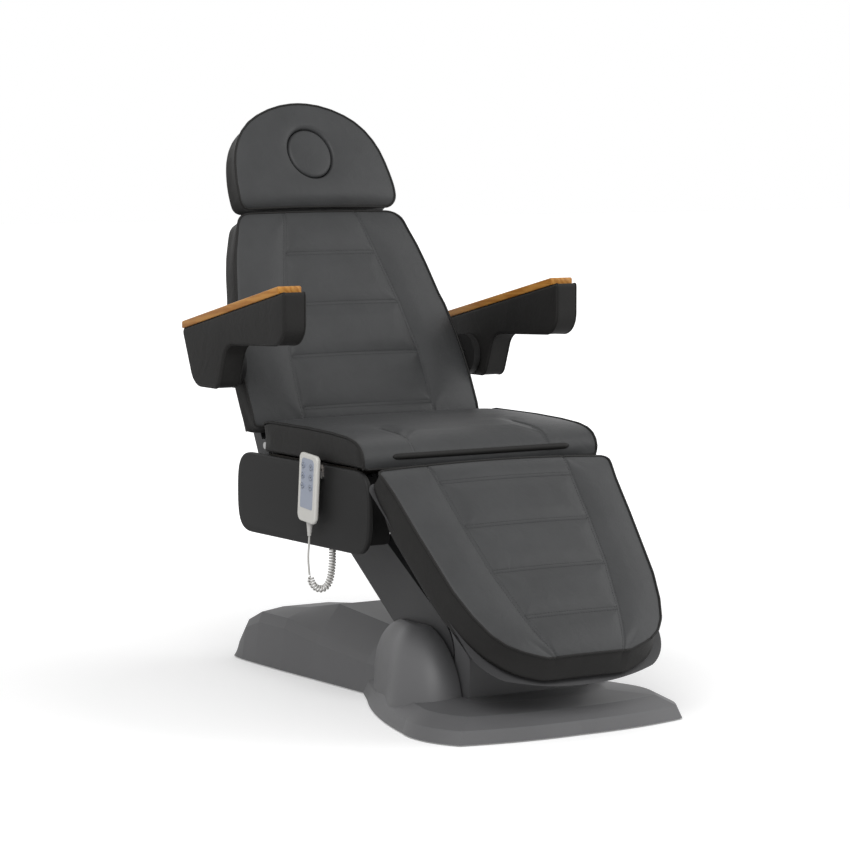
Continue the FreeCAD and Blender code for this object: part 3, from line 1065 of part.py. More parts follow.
def leg_edges(grow=0.0):
    high, foot = -size("leg_high"), -size("leg_foot") - grow
    top_half, low_half = size("leg_half_top") + grow, size("leg_half_low") + grow
    low, corner = -size("leg_low"), -size("leg_corner") - grow
    corner_half = size("leg_corner_half") + grow / 2
    bend = size("leg_top_r")
    bow = ROUND_SHARE
    (foot_bow, foot_up), (corner_in, corner_up) = LEG_SHARES["foot"], LEG_SHARES["corner"]
    return half_outline([(0, foot), (corner_half, corner, corner_half * foot_bow,
                                     foot - (foot - corner) * foot_up),
                         (low_half, low, low_half - (low_half - corner_half) * corner_in,
                          corner + (low - corner) * corner_up),
                         (top_half, high - bend), (top_half - bend, high, top_half - bend * bow,
                                                   high - bend * bow),
                         (0, high)])


def make_leg():
    half, face, depth = size("leg_half_top"), size("leg_face"), size("leg_depth")
    high, foot, crown = -size("leg_high"), -size("leg_foot"), size("leg_crown")
    rear = face - depth
    flare = 1 + size("leg_flare") / (high - foot)
    shape = cushion(leg_edges(), rear, face, crown, size("side_draw"), half, high, (foot - half, high + half),
                    flare)
    high_at = crown_at(face, crown, half)
    radius, sunk = size("channel_r"), size("channel_depth")
    steps = [-(size("leg_stitch_0") + size("leg_stitch_step") * i) for i in range(4)]
    wide, narrow = size("leg_stitch_high"), size("leg_stitch_low")

    def spread(y):
        return wide - (wide - narrow) * ((high - y) / (high - foot)) ** 2
    over = size("cut_over")
    bars = [sewn_bow(spread(y), y, high_at, radius, sunk) for y in steps]
    for side in (1, -1):
        bars.append(sewn_line([(side * spread(y), y) for y in [high + over] + steps + [foot - over]], high_at,
                              radius,
                              sunk))
    for bar in bars:
        shape = shape.cut(bar)
    node("leg_cushion", in_leg(solid("LegCushion", shape)))
    thick, out = size("leg_tray_t"), size("leg_tray_out")
    wires = [outline_wire(leg_edges(grow), z, 1, high, flare) for grow,
             z in ((-out, rear - thick), (out / 2, rear))]
    tray = Part.makeLoft(wires, True, True)
    node("leg_tray", in_leg(solid("LegTray", tray)))
    level = "(leg_face - leg_depth - leg_tray_t - leg_tube)"
    tubes = pair_of_boxes("LegTube", "leg_tube_x", "leg_tube", "leg_tube_low - leg_eye_r", "leg_tube",
                          "-leg_tube_low",
                          level)
    bars = [box("LegBar%d" % i, "2 * leg_tube_x", "leg_tube", "leg_tube", "-leg_tube_x", y, level)
            for i, y in enumerate(("-leg_tube_low", "leg_bar_y"))]
    eyes = [rod("LegEye%d" % i, "x", "leg_eye_r", "leg_tube", "%s - leg_tube / 2" % (side % "leg_tube_x"),
                "0", "0")
            for i, side in enumerate(PAIR)]
    webs = pair_of_boxes("LegWeb", "leg_tube_x", "leg_tube", "leg_web", "2 * leg_eye_r", "-leg_web",
                         "-leg_eye_r")
    lugs = []
    for i, side in enumerate(("+", "-")):
        at = "leg_act_x %s (lift_lug_gap + lift_lug_t) / 2" % side
        lugs.append(plate("LegLug%d" % i, [("leg_bar_y + leg_tube", level + " + leg_tube * lug_weld_share"),
                                           ("leg_bar_y", level + " + leg_tube * lug_weld_share"),
                                           ("leg_bar_y", level),
                                           ("leg_lug_y - lift_lug_r", "leg_lug_n - lift_lug_r"),
                                           ("leg_lug_y + lift_lug_r", "leg_lug_n - lift_lug_r"),
                                           ("leg_lug_y + lift_lug_r", "leg_lug_n + lift_lug_r")],
                          "lift_lug_t", at))
    lugs.append(rod("LegPin", "x", "pin_r", "lift_lug_gap + 2 * lift_lug_t",
                    "leg_act_x - lift_lug_gap / 2 - lift_lug_t",
                    "leg_lug_y", "leg_lug_n"))
    hole = across("LegHole", "pin_r + running_gap", "seat_half", "0", "0")
    set_in_leg("leg_frame", cut("LegFrame", fuse("LegWelded", tubes + bars + eyes + webs + lugs), [hole]))


# Actuators: a motor and tube that swing on a fixed pin, and a rod whose eye goes round the moved pin
def make_actuator(name, x, fixed, moved, under):
    """Made along +Z from the fixed pin, then turned to point at the moved pin."""
    reach = math.dist(fixed, moved)
    turn = math.degrees(math.atan2(moved[1] - fixed[1], moved[0] - fixed[0])) - 90
    eye_r, eye_w, pin_r = size("act_eye_r"), size("act_eye_w"), size("pin_r")
    tube_r, rod_r, gap = size("act_tube_r"), size("act_rod_r"), size("running_gap")
    motor_r, motor_len = size("act_motor_r"), size("act_motor_len")
    tube_end = reach - eye_r - size(name + "_in") - size("act_gap")
    ring = Part.makeCylinder(eye_r, eye_w, vec(-eye_w / 2, 0, 0), AXIS_X)
    tube_start = eye_r * ACT_SHARES["tube"]
    tube = Part.makeCylinder(tube_r, tube_end - tube_start, vec(0, 0, tube_start), AXIS_Z)
    motor = Part.makeCylinder(motor_r * ACT_SHARES["motor"], motor_len, vec(0, under * motor_r, eye_r),
                              AXIS_Z)
    gear_w = motor_r + tube_r + motor_r * ACT_SHARES["gear"]
    gear_y = -tube_r if under > 0 else tube_r - gear_w
    gearbox = Part.makeBox(2 * tube_r, gear_w, motor_r, vec(-tube_r, gear_y, eye_r * ACT_SHARES["rise"]))
    body = ring.fuse([tube, motor, gearbox])
    body = body.cut(Part.makeCylinder(pin_r + gap, 2 * eye_w, vec(-eye_w, 0, 0), AXIS_X))
    bore_start = eye_r + motor_r
    body = body.cut(Part.makeCylinder(rod_r + gap, reach, vec(0, 0, bore_start), AXIS_Z))
    stem_start = bore_start + size(name + "_in") + pin_r / 2
    stem = Part.makeCylinder(rod_r, reach - stem_start - pin_r / 2, vec(0, 0, stem_start), AXIS_Z)
    loop = Part.makeCylinder(eye_r, eye_w, vec(-eye_w / 2, 0, reach), AXIS_X)
    wide = pin_r + size("open_pivot_gap")
    stem = stem.fuse(loop).cut(Part.makeCylinder(wide, 2 * eye_w, vec(-eye_w, 0, reach), AXIS_X))
    for label, shape in ((name + "_actuator", body), (name + "_rod", stem)):
        thing = solid(label.title().replace("_", ""), shape)
        thing.Placement = FreeCAD.Placement(vec(x, fixed[0], fixed[1]), FreeCAD.Rotation(AXIS_X, turn))
        node(label, thing)


def turned(y, z, angle, along, out):
    """A place given along and out from a hinge, in the side view."""
    turn = math.radians(angle)
    level, rise = math.cos(turn), math.sin(turn)
    return y + along * level - out * rise, z + along * rise + out * level


def make_actuators():
    lift_lug = (size("lift_lug_at_y"), size("lift_lug_at_z"))
    make_actuator("lift", 0, (size("lift_pin_y"), size("lift_pin_z")), lift_lug, -1)
    back_lug = turned(size("back_hinge_y"), size("back_hinge_z"), size("back_angle"), size("back_lug_y"),
                      size("back_lug_n"))
    make_actuator("back", size("back_act_x"), (size("back_pin_y"), size("back_pin_z")), back_lug, 1)
    leg_lug = turned(size("leg_hinge_y"), size("leg_hinge_z"), size("leg_angle"), size("leg_lug_y"),
                     size("leg_lug_n"))
    make_actuator("leg", size("leg_act_x"), (size("leg_pin_y"), size("leg_pin_z")), leg_lug, -1)


# Handset: two shells, keypad, six keys, clip, strain relief; made upright round its middle, face towards -X
def in_handset(thing):
    thing.Placement = FreeCAD.Placement(vec(0, 0), FreeCAD.Rotation(AXIS_X, size("set_roll")))
    bind(thing, Placement__Rotation__Angle="set_roll")
    return place(thing, "0", "set_y", "set_z")


def set_in_handset(label, thing):
    holder = group(label + "_placed", [thing])
    return node(label, in_handset(holder))


KEYS = [("key_back_up", 1, 0), ("key_back_down", -1, 0), ("key_leg_up", 1, 1), ("key_leg_down", -1, 1),
        ("key_lift_up", 1, 2), ("key_lift_down", -1, 2)]


def make_handset():
    half_w, half_h = "set_w / 2", "set_h / 2"
    corners = [("-%s" % half_w, "-%s" % half_h), (half_w, "-%s" % half_h), (half_w, half_h),
               ("-%s" % half_w, half_h)]
    in_w, in_h = "(%s - set_wall)" % half_w, "(%s - set_wall)" % half_h
    inner = [("-" + in_w, "-" + in_h), (in_w, "-" + in_h), (in_w, in_h), ("-" + in_w, in_h)]
    every = {"set_corner": [0, 1, 2, 3]}
    every_inner = {"set_corner - set_wall": [0, 1, 2, 3]}
    middle = "-(set_back_x + set_split)"
    front_t = "(set_t - set_split)"
    back = plate("SetBack", corners, "set_split", "-set_back_x - set_split / 2", every)
    back_hollow = plate("SetBackHollow", inner, "set_split", "-set_back_x - set_split / 2 - set_wall",
                        every_inner)
    front = plate("SetFront", corners, front_t, "%s - %s / 2" % (middle, front_t), every)
    front_hollow = plate("SetFrontHollow", inner, front_t, "%s - %s / 2 + set_wall" % (middle, front_t),
                         every_inner)
    face = "-(set_back_x + set_t)"
    sheet_low = "(pad_up - pad_h / 2)"
    label = box("KeySheet", "pad_t", "pad_w", "pad_h", "%s - pad_t" % face, "-pad_w / 2", sheet_low)
    key_holes = []
    for i, (name, side, line) in enumerate(KEYS):
        y, z = "%d * key_dx / 2" % side, "key_up - %d * key_dz" % line
        key_holes.append(rod("KeyHole%d" % i, "x", "key_r + key_gap", "set_t", "%s - set_t / 2" % face, y, z))
        cap = rod("Key%d" % i, "x", "key_r", "key_out + pad_t + key_deep", "%s - pad_t - key_out" % face, y,
                  z)
        set_in_handset(name, cap)
    set_in_handset("handset_front", cut("SetFrontShell", front, [front_hollow] + key_holes))
    set_in_handset("handset_keypad", cut("SetKeypad", label, key_holes))
    set_in_handset("handset_back", cut("SetBackShell", back, [back_hollow]))
    taper = doc.addObject("Part::Cone", "ReliefCone")
    bind(taper, Radius1="relief_r1", Radius2="relief_r0", Height="relief_len")
    place(taper, middle, "0", "-%s - relief_len" % half_h)
    set_in_handset("cord_relief", taper)
    strap = box("ClipStrap", "clip_t", "clip_w", "hook_plate", "-set_back_x + clip_gap + clip_t",
                "hook_y - set_y - clip_w / 2",
                "hook_z - set_z + 2 * hook_t")
    bridge = box("ClipBridge", "clip_gap + 2 * clip_t", "clip_w", "hook_plate - hook_lip - 2 * hook_t",
                 "-set_back_x",
                 "hook_y - set_y - clip_w / 2", "hook_z - set_z + hook_lip + 4 * hook_t")
    holder = place(group("handset_clip_placed", [fuse("HandsetClip", [strap, bridge])]), "0", "set_y",
                   "set_z")
    node("handset_clip", holder)


# Cords: the straight lead, then the curls that hang in a loop and go up behind the side panel
def route_edges(points):
    """Straight runs joined by tangent arcs as large as the runs allow; prints the radii."""
    points = [vec(x - size("seat_half"), y, z) for x, y, z in points]
    edges, last, radii = [], points[0], []
    for before, here, after in zip(points, points[1:], points[2:]):
        one, two = (before - here), (after - here)
        turn = math.pi - one.getAngle(two)
        trim = TRIM_SHARE * min(one.Length, two.Length)
        start, end = here + one.normalize() * trim, here + two.normalize() * trim
        radius = trim / math.tan(turn / 2)
        radii.append(round(radius, 1))
        bisector = (one + two).normalize()
        centre_way = math.hypot(radius, trim)
        middle = here + bisector * (centre_way - radius)
        edges.append(Part.makeLine(last, start))
        edges.append(Part.Arc(start, middle, end).toShape())
        last = end
    edges.append(Part.makeLine(last, points[-1]))
    return edges, radii


def swept(edges, radius):
    wire = Part.Wire(edges)
    start = edges[0].Vertexes[0].Point
    way = edges[0].tangentAt(edges[0].FirstParameter)
    ring = Part.Wire([Part.Circle(start, way, radius).toShape()])
    return wire.makePipeShell([ring], True, False)


def biarc(p0, t0, p1, t1):
    """Two tangent arcs from one point and direction to another."""
    chord = p1 - p0
    both = t0 + t1
    blend = 2 * (1 - t0.dot(t1))
    reach = (-chord.dot(both) + math.sqrt(chord.dot(both) ** 2 + blend * chord.dot(chord))) / blend
    q0, q1 = p0 + t0 * reach, p1 - t1 * reach
    joint = (q0 + q1) * 0.5
    arcs = []
    for a, q, b in ((p0, q0, joint), (joint, q1, p1)):
        weight = math.cos((q - a).getAngle(b - a))
        arcs.append(Part.Arc(a, (a + q * 2 * weight + b) * (1 / (2 + 2 * weight)), b).toShape())
    return arcs


def make_cords():
    edges, radii = route_edges(LEAD_ROUTE)
    lead_r = size("lead_r")
    tube = swept(edges, lead_r)
    length = sum(edge.Length for edge in edges)
    print("lead radii", radii, "length", round(length, 1))
    node("handset_lead", solid("HandsetLead", tube))
    edges, radii = route_edges(CURL_ROUTE)
    middle = Part.Wire(edges)
    length = middle.Length
    wire_r, curl_r = size("curl_wire_r"), size("curl_r")
    turns = int((length - 4 * wire_r) / size("curl_pitch"))
    halves = 2 * turns
    stations = middle.discretize(Number=halves * 2 + 1)
    side = AXIS_X
    path = []
    for i, spot in enumerate(stations):
        ahead = (stations[min(i + 1, len(stations) - 1)] - stations[max(i - 1, 0)]).normalize()
        side = (side - ahead * side.dot(ahead)).normalize()
        other = ahead.cross(side)
        phase = math.pi * i / 2
        swell = min(1.0, i / 4, (len(stations) - 1 - i) / 4)
        path.append(spot + (side * math.cos(phase) + other * math.sin(phase)) * curl_r * swell)
    ways = [(path[min(i + 1, len(path) - 1)] - path[max(i - 1, 0)]).normalize() for i in range(len(path))]
    ways[0] = (stations[1] - stations[0]).normalize()
    ways[-1] = (stations[-1] - stations[-2]).normalize()
    curls = []
    for i in range(len(path) - 1):
        curls += biarc(path[i], ways[i], path[i + 1], ways[i + 1])
    tail = path[-1] + ways[-1] * 2 * wire_r
    curls.append(Part.makeLine(path[-1], tail))
    cord = swept(curls, wire_r)
    print("curls", turns, "solid", cord.isValid(), round(cord.Volume / 1000, 2))
    print("least gap", round(least_gap(path, 2 * wire_r), 2))
    node("curly_cord", solid("CurlyCord", cord))
    gland = Part.makeCylinder(size("gland_r"), size("gland_h"), tail, AXIS_Z)
    wall_x = size("panel_t") - size("seat_half")
    foot = Part.makeBox(tail.x - wall_x, 2 * size("gland_r"), size("gland_h"),
                        vec(wall_x, tail.y - size("gland_r"), tail.z))
    gland = gland.fuse(foot).removeSplitter()
    node("cord_gland", solid("CordGland", gland))


def least_gap(points, thick):
    """The least distance between stretches of the curls that lie over half a turn apart, less the wire."""
    best = math.inf
    for i, one in enumerate(points):
        for other in points[i + 3:]:
            best = min(best, one.distanceToPoint(other) - thick)
    return best


def main():
    make_base()
    make_base_cover()
    make_lift_arm()
    make_seat()
    make_back()
    make_head()
    make_arms()
    make_leg()
    make_actuators()
    make_handset()
    make_cords()
    doc.recompute()
    faults = [thing.Name for thing in doc.Objects if {"Invalid", "Error"} & set(thing.State)]
    faults += [label for label, thing in NODES.items() if thing.Shape.isNull() or not thing.Shape.isValid()]
    if faults:
        raise RuntimeError("failed: %s" % ", ".join(faults))
    os.makedirs("parts", exist_ok=True)
    for label, thing in NODES.items():
        thing.Shape.exportStep("parts/%s.step" % label)
    print(len(NODES), "parts")


main()
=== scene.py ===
"""Electric treatment chair: upholstery, timber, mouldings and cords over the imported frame."""
import math

import bpy
import numpy as np
from bpy.props import FloatProperty, FloatVectorProperty, PointerProperty
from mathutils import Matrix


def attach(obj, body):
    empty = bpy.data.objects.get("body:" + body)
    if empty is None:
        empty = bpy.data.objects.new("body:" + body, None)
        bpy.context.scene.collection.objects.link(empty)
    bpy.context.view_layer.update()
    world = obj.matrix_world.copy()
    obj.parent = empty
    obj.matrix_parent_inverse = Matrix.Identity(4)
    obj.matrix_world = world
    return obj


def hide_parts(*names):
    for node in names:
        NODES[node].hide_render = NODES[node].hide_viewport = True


bl_info = {
    "name": "Treatment chair",
    "version": (1, 0, 0),
    "blender": (4, 5, 0),
    "location": "View3D > Sidebar > Treatment chair",
    "description": "Dresses the treatment chair's frame with leatherette, timber and mouldings",
    "category": "Object",
}

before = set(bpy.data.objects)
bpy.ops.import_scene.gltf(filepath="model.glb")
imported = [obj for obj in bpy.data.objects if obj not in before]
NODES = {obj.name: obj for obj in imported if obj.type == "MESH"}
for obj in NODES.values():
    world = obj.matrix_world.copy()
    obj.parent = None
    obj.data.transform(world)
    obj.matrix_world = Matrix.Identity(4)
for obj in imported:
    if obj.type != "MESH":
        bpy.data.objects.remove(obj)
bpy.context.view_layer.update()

BACK_HINGE, BACK_TURN = (0.0, 0.256, 0.540), math.radians(63.7)
LEG_HINGE, LEG_TURN = (0.0, -0.2065, 0.518), math.radians(46.6)
FLAT = ((0.0, 0.0, 0.0), 0.0)
BACK_FRAME = (BACK_HINGE, BACK_TURN)
LEG_FRAME = (LEG_HINGE, LEG_TURN)
MM = 0.001
HALF = 0.3  # half the seat's width, which the crowns of seat and back are measured by


def tint(name, text, value):
    """A colour setting."""
    return FloatVectorProperty(name=name, description=text, subtype="COLOR", default=value, min=0, max=1)


def amount(name, text, value, low, high, kind="DISTANCE"):
    """A number setting between two limits, a length where nothing else is said."""
    return FloatProperty(name=name, description=text, subtype=kind, default=value, min=low, max=high)


class ChairUpholstery(bpy.types.PropertyGroup):
    """Sizes and colours of the leatherette pieces."""
    colour: tint("Leatherette", "Colour of the faces", (0.041, 0.042, 0.043))
    band_colour: tint("Side bands", "Colour of the bands and the arm pads", (0.018, 0.0175, 0.017))
    piping: amount("Piping radius", "Radius of the sewn edge cord", 0.0026, 0.001, 0.006)
    groove: amount("Seam depth", "Depth of the sewn channels", 0.0030, 0, 0.01)
    swell: amount("Swell", "Farthest that the stuffing pushes a point out", 0.005, 0, 0.03)
    stitch: amount("Stitch pitch", "Distance from one stitch to the next", 0.0065, 0.003, 0.02)


class ChairMouldings(bpy.types.PropertyGroup):
    """Colours of the hard pieces."""
    base_colour: tint("Base", "Colour of the base mouldings", (0.098, 0.098, 0.101))
    panel_colour: tint("Side panels", "Colour of the side panels", (0.019, 0.0188, 0.0188))
    timber_light: tint("Timber, light", "Light grain of the arm tops", (0.47, 0.22, 0.048))
    timber_dark: tint("Timber, dark", "Dark grain of the arm tops", (0.34, 0.135, 0.022))
    edge: amount("Panel edge", "Rounding of the side panels", 0.005, 0.001, 0.01)


class ChairHandset(bpy.types.PropertyGroup):
    """Sizes and colours of the handset and its cord."""
    shell: tint("Shell", "Colour of the handset", (0.58, 0.57, 0.54))
    sheet: tint("Key sheet", "Colour of the key sheet", (0.30, 0.33, 0.40))
    curl_radius: amount("Curl radius", "Radius of the curls at their wire's middle", 0.0064, 0.003, 0.02)
    curl_pitch: amount("Curl pitch", "Distance from one curl to the next", 0.0056, 0.004, 0.02)
    curl_wire: amount("Curl wire", "Radius of the curled wire", 0.0019, 0.001, 0.004)
    lead: amount("Lead radius", "Radius of the straight lead", 0.0022, 0.001, 0.004)


class ChairStage(bpy.types.PropertyGroup):
    """Floor and light."""
    floor: tint("Floor", "Colour of the floor", (0.86, 0.86, 0.86))
    key_power: amount("Key light", "Power of the key light", 140, 0, 2000, "POWER")
    fill_power: amount("Fill light", "Power of the fill light", 60, 0, 2000, "POWER")


# From arrays to meshes
def grid_faces(rows, cols, closed=False):
    """Quads of a grid of points: a point, the next in its row and the two below; closed joins the ends."""
    last = cols if closed else cols - 1
    i, j = np.meshgrid(np.arange(rows - 1), np.arange(last), indexing="ij")
    right = (j + 1) % cols
    corners = [i * cols + j, i * cols + right, (i + 1) * cols + right, (i + 1) * cols + j]
    return np.stack(corners, -1).reshape(-1, 4)


def mesh_piece(name, points, faces, body, finish, smooth=True):
    """An object at the origin from an array of points and arrays of faces, riding on a body."""
    mesh = bpy.data.meshes.new(name)
    lists = [row for block in faces for row in np.asarray(block).tolist()]
    mesh.from_pydata(np.asarray(points, float).tolist(), [], lists)
    mesh.update()
    mesh.polygons.foreach_set("use_smooth", np.full(len(mesh.polygons), smooth))
    piece = bpy.data.objects.new(name, mesh)
    bpy.context.scene.collection.objects.link(piece)
    mesh.materials.append(finish)
    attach(piece, body)
    return piece


def points_of(mesh):
    """A mesh's points as an array."""
    spots = np.empty(len(mesh.vertices) * 3)
    mesh.vertices.foreach_get("co", spots)
    return spots.reshape(-1, 3)


def steps_of(path):
    """The distance run at each point of a line of points."""
    return np.concatenate([[0], np.cumsum(np.linalg.norm(np.diff(path, axis=0), axis=1))])


def read_along(path, run, at):
    """The places on a line of points at the distances asked for, straight between its points."""
    return np.stack([np.interp(at, run, column) for column in path.T], -1)


def unit(rows):
    """Each row as a direction, one long."""
    return rows / np.linalg.norm(rows, axis=1)[:, None]


def into_frame(points, where):
    """Turn points about X by the frame's angle, then move them to its hinge."""
    hinge, turn = where
    c, s = math.cos(turn), math.sin(turn)
    x, y, z = np.moveaxis(np.asarray(points, float), -1, 0)
    return np.stack([x + hinge[0], y * c - z * s + hinge[1], y * s + z * c + hinge[2]], -1)


def tube(path, radius, sides=8, closed=False):
    """A ring of points carried along a path, square to it; returns points and faces."""
    path = np.asarray(path, float)
    count = len(path)
    if closed:
        ahead = np.roll(path, -1, 0) - np.roll(path, 1, 0)
    else:
        ahead = np.gradient(path, axis=0)
    ahead = unit(ahead)
    guide = np.where(np.abs(ahead[:, :1]) < 0.9, [[1.0, 0, 0]], [[0, 1.0, 0]])
    side = unit(np.cross(ahead, guide))
    other = np.cross(ahead, side)
    phase = np.arange(sides) * math.tau / sides
    ring = side[:, None] * np.cos(phase)[:, None] + other[:, None] * np.sin(phase)[:, None]
    points = (path[:, None] + ring * radius).reshape(-1, 3)
    order = np.arange(count * sides).reshape(count, sides)
    if closed:
        order = np.vstack([order, order[:1]])
    nxt = np.roll(order, -1, 1)
    faces = np.stack([order[:-1], nxt[:-1], nxt[1:], order[1:]], -1).reshape(-1, 4)
    blocks = [faces]
    if not closed:
        blocks += [order[:1, ::-1], order[-1:]]
    return points, blocks


def resample(path, pitch, closed=False):
    """Points at an even distance along a line of points."""
    path = np.asarray(path, float)
    if closed:
        path = np.vstack([path, path[:1]])
    run = steps_of(path)
    count = max(2, int(round(run[-1] / pitch)))
    at = np.linspace(0, run[-1], count, endpoint=not closed)
    return read_along(path, run, at)


def stitch_row(path, pitch, lift):
    """Stitches along a line: each an eight-sided lozenge, 0.72 of the pitch long."""
    spots = resample(path, pitch)
    middle = (spots[1:] + spots[:-1]) / 2 + lift
    way = unit(spots[1:] - spots[:-1])
    askew = np.broadcast_to([0.31, 0.52, 0.79], way.shape)
    side = unit(np.cross(way, askew))
    other = np.cross(way, side)
    half, thick = pitch * 0.36, 0.00055
    corners = np.stack([middle - way * half, middle + side * thick, middle + other * thick,
                        middle - side * thick, middle - other * thick, middle + way * half], 1)
    fan = np.array([[0, 2, 1], [0, 3, 2], [0, 4, 3], [0, 1, 4], [5, 1, 2], [5, 2, 3], [5, 3, 4], [5, 4, 1]])
    faces = (np.arange(len(middle))[:, None, None] * 6 + fan).reshape(-1, 3)
    return corners.reshape(-1, 3), faces


def rounded(corners, radii, steps=10):
    """A closed outline whose corners are arcs: each corner's two tangent points joined by a circle's arc."""
    corners = np.asarray(corners, float)
    line = []
    for k, radius in enumerate(radii):
        here, before, after = corners[k], corners[k - 1], corners[(k + 1) % len(corners)]
        one, two = before - here, after - here
        one, two = one / np.linalg.norm(one), two / np.linalg.norm(two)
        half = math.acos(np.clip(one @ two, -1, 1)) / 2
        reach = radius / math.tan(half)
        centre = here + (one + two) / np.linalg.norm(one + two) * radius / math.sin(half)
        start, end = here + one * reach - centre, here + two * reach - centre
        share = np.linspace(0, 1, steps)
        sweep = math.pi - 2 * half
        blend = np.sin((1 - share) * sweep)[:, None] * start + np.sin(share * sweep)[:, None] * end
        line.append(centre + blend / math.sin(sweep))
    return np.vstack(line)


def inward(line):
    """Unit normals of a closed outline in a plane, pointing in for a counter-clockwise one."""
    ahead = unit(np.roll(line, -1, 0) - np.roll(line, 1, 0))
    return np.stack([-ahead[:, 1], ahead[:, 0]], -1)


def area_sign(line):
    """Plus for a counter-clockwise outline and minus for a clockwise one: the sign of its area."""
    x, y = line[:, 0], line[:, 1]
    return np.sign(np.sum(x * np.roll(y, -1) - np.roll(x, -1) * y))


def rounded_plate(outline, near, far, edge, steps=5):
    """A plate across X from near to far over an outline in Y and Z: its two rims are quarter circles."""
    line = np.asarray(outline, float)
    if area_sign(line) < 0:
        line = line[::-1]
    normal = inward(line)
    turn = np.linspace(0, math.pi / 2, steps)
    inset = edge * (1 - np.sin(turn))
    depth = edge * (1 - np.cos(turn))
    way = math.copysign(1, far - near)
    x = np.concatenate([near + way * depth, far - way * depth[::-1]])
    inset = np.concatenate([inset, inset[::-1]])
    rings = [np.column_stack([np.full(len(line), a), line + normal * b]) for a, b in zip(x, inset)]
    points = np.vstack(rings)
    count = len(line)
    faces = grid_faces(len(rings), count, closed=True)
    caps = [np.arange(count)[None, ::-1], (np.arange(count) + (len(rings) - 1) * count)[None]]
    return points, [block[:, ::int(way)] for block in (faces, *caps)]


# Finishes
def new_finish(name):
    """A material with its node tree and its main shader."""
    finish = bpy.data.materials.new(name)
    finish.use_nodes = True
    tree = finish.node_tree
    return finish, tree, tree.nodes["Principled BSDF"]


def add_node(tree, kind, **values):
    """A node with the values given for its sockets or its settings."""
    made = tree.nodes.new(kind)
    for key, value in values.items():
        if key in made.inputs:
            made.inputs[key].default_value = value
        else:
            setattr(made, key, value)
    return made


def wire(tree, *pairs):
    """Link outputs to inputs."""
    for pair in pairs:
        tree.links.new(*pair)


def object_place(tree, *parts):
    """Feed the object's own coordinates to texture nodes."""
    place = tree.nodes.new("ShaderNodeTexCoord").outputs["Object"]
    for part in parts:
        tree.links.new(place, part.inputs["Vector"])


def vary_gloss(tree, shader, source, low, high):
    """Let a number between 0 and 1 move the roughness between two values."""
    span = add_node(tree, "ShaderNodeMapRange", **{"To Min": low, "To Max": high})
    tree.links.new(source, span.inputs["Value"])
    tree.links.new(span.outputs["Result"], shader.inputs["Roughness"])


def two_tone(tree, shader, source, dark, light, low=0.35, high=0.65):
    """Let a number move the colour along a ramp from dark to light."""
    ramp = tree.nodes.new("ShaderNodeValToRGB")
    ramp.color_ramp.elements[0].color = (*dark, 1)
    ramp.color_ramp.elements[1].color = (*light, 1)
    ramp.color_ramp.elements[0].position = low
    ramp.color_ramp.elements[1].position = high
    tree.links.new(source, ramp.inputs["Fac"])
    tree.links.new(ramp.outputs["Color"], shader.inputs["Base Color"])


def shaded(colour, share):
    """A colour made darker or lighter by a share."""
    return tuple(min(1, c * share) for c in colour)


def raised(tree, target, height, strength, depth):
    """A bump driven by a number, on a shader or on top of another bump."""
    bump = add_node(tree, "ShaderNodeBump", Strength=strength, Distance=depth)
    tree.links.new(height, bump.inputs["Height"])
    tree.links.new(bump.outputs["Normal"], target.inputs["Normal"])
    return bump


def leatherette(name, colour, shine=0.46, gloss=0.24):
    """Pebbled grain about a millimetre across, soft creases, faint cloudy colour."""
    finish, tree, shader = new_finish(name)
    cloud = add_node(tree, "ShaderNodeTexNoise", Scale=9.0, Detail=4.0, Roughness=0.6)
    grain = add_node(tree, "ShaderNodeTexVoronoi", Scale=850.0, feature="SMOOTH_F1", Smoothness=0.4)
    crease = add_node(tree, "ShaderNodeTexNoise", Scale=26.0, Detail=3.0, Distortion=1.2)
    object_place(tree, cloud, grain, crease)
    dark, light = shaded(colour, 0.88), shaded(colour, 1.10)
    two_tone(tree, shader, cloud.outputs["Fac"], dark, light, 0.3, 0.7)
    vary_gloss(tree, shader, cloud.outputs["Fac"], shine - 0.06, shine + 0.08)
    fine = raised(tree, shader, grain.outputs["Distance"], 0.30, 0.0004)
    raised(tree, fine, crease.outputs["Fac"], 0.22, 0.004)
    shader.inputs["Specular IOR Level"].default_value = gloss
    return finish


def moulded(name, colour, rough=0.5, speck=700.0, bump=0.12, shade=0.08, gloss=0.5):
    """Moulded plastic or paint: fine spark-eroded texture and a slight drift of tone."""
    finish, tree, shader = new_finish(name)
    cloud = add_node(tree, "ShaderNodeTexNoise", Scale=5.0, Detail=3.0)
    fine = add_node(tree, "ShaderNodeTexNoise", Scale=speck, Detail=2.0)
    object_place(tree, cloud, fine)
    dark, light = shaded(colour, 1 - shade), shaded(colour, 1 + shade)
    two_tone(tree, shader, cloud.outputs["Fac"], dark, light, 0.3, 0.7)
    vary_gloss(tree, shader, cloud.outputs["Fac"], rough - 0.05, rough + 0.07)
    raised(tree, shader, fine.outputs["Fac"], bump, 0.0006)
    shader.inputs["Specular IOR Level"].default_value = gloss
    return finish


def metal(name, colour, rough):
    """Drawn or plated steel: streaks along Y vary the gloss."""
    finish, tree, shader = new_finish(name)
    link = tree.links.new
    stretch = add_node(tree, "ShaderNodeMapping", Scale=(900.0, 20.0, 900.0))
    streak = add_node(tree, "ShaderNodeTexNoise", Scale=1.0, Detail=2.0)
    object_place(tree, stretch)
    link(stretch.outputs["Vector"], streak.inputs["Vector"])
    two_tone(tree, shader, streak.outputs["Fac"], shaded(colour, 0.9), colour)
    vary_gloss(tree, shader, streak.outputs["Fac"], max(0.05, rough - 0.08), rough + 0.08)
    shader.inputs["Metallic"].default_value = 1.0
    return finish


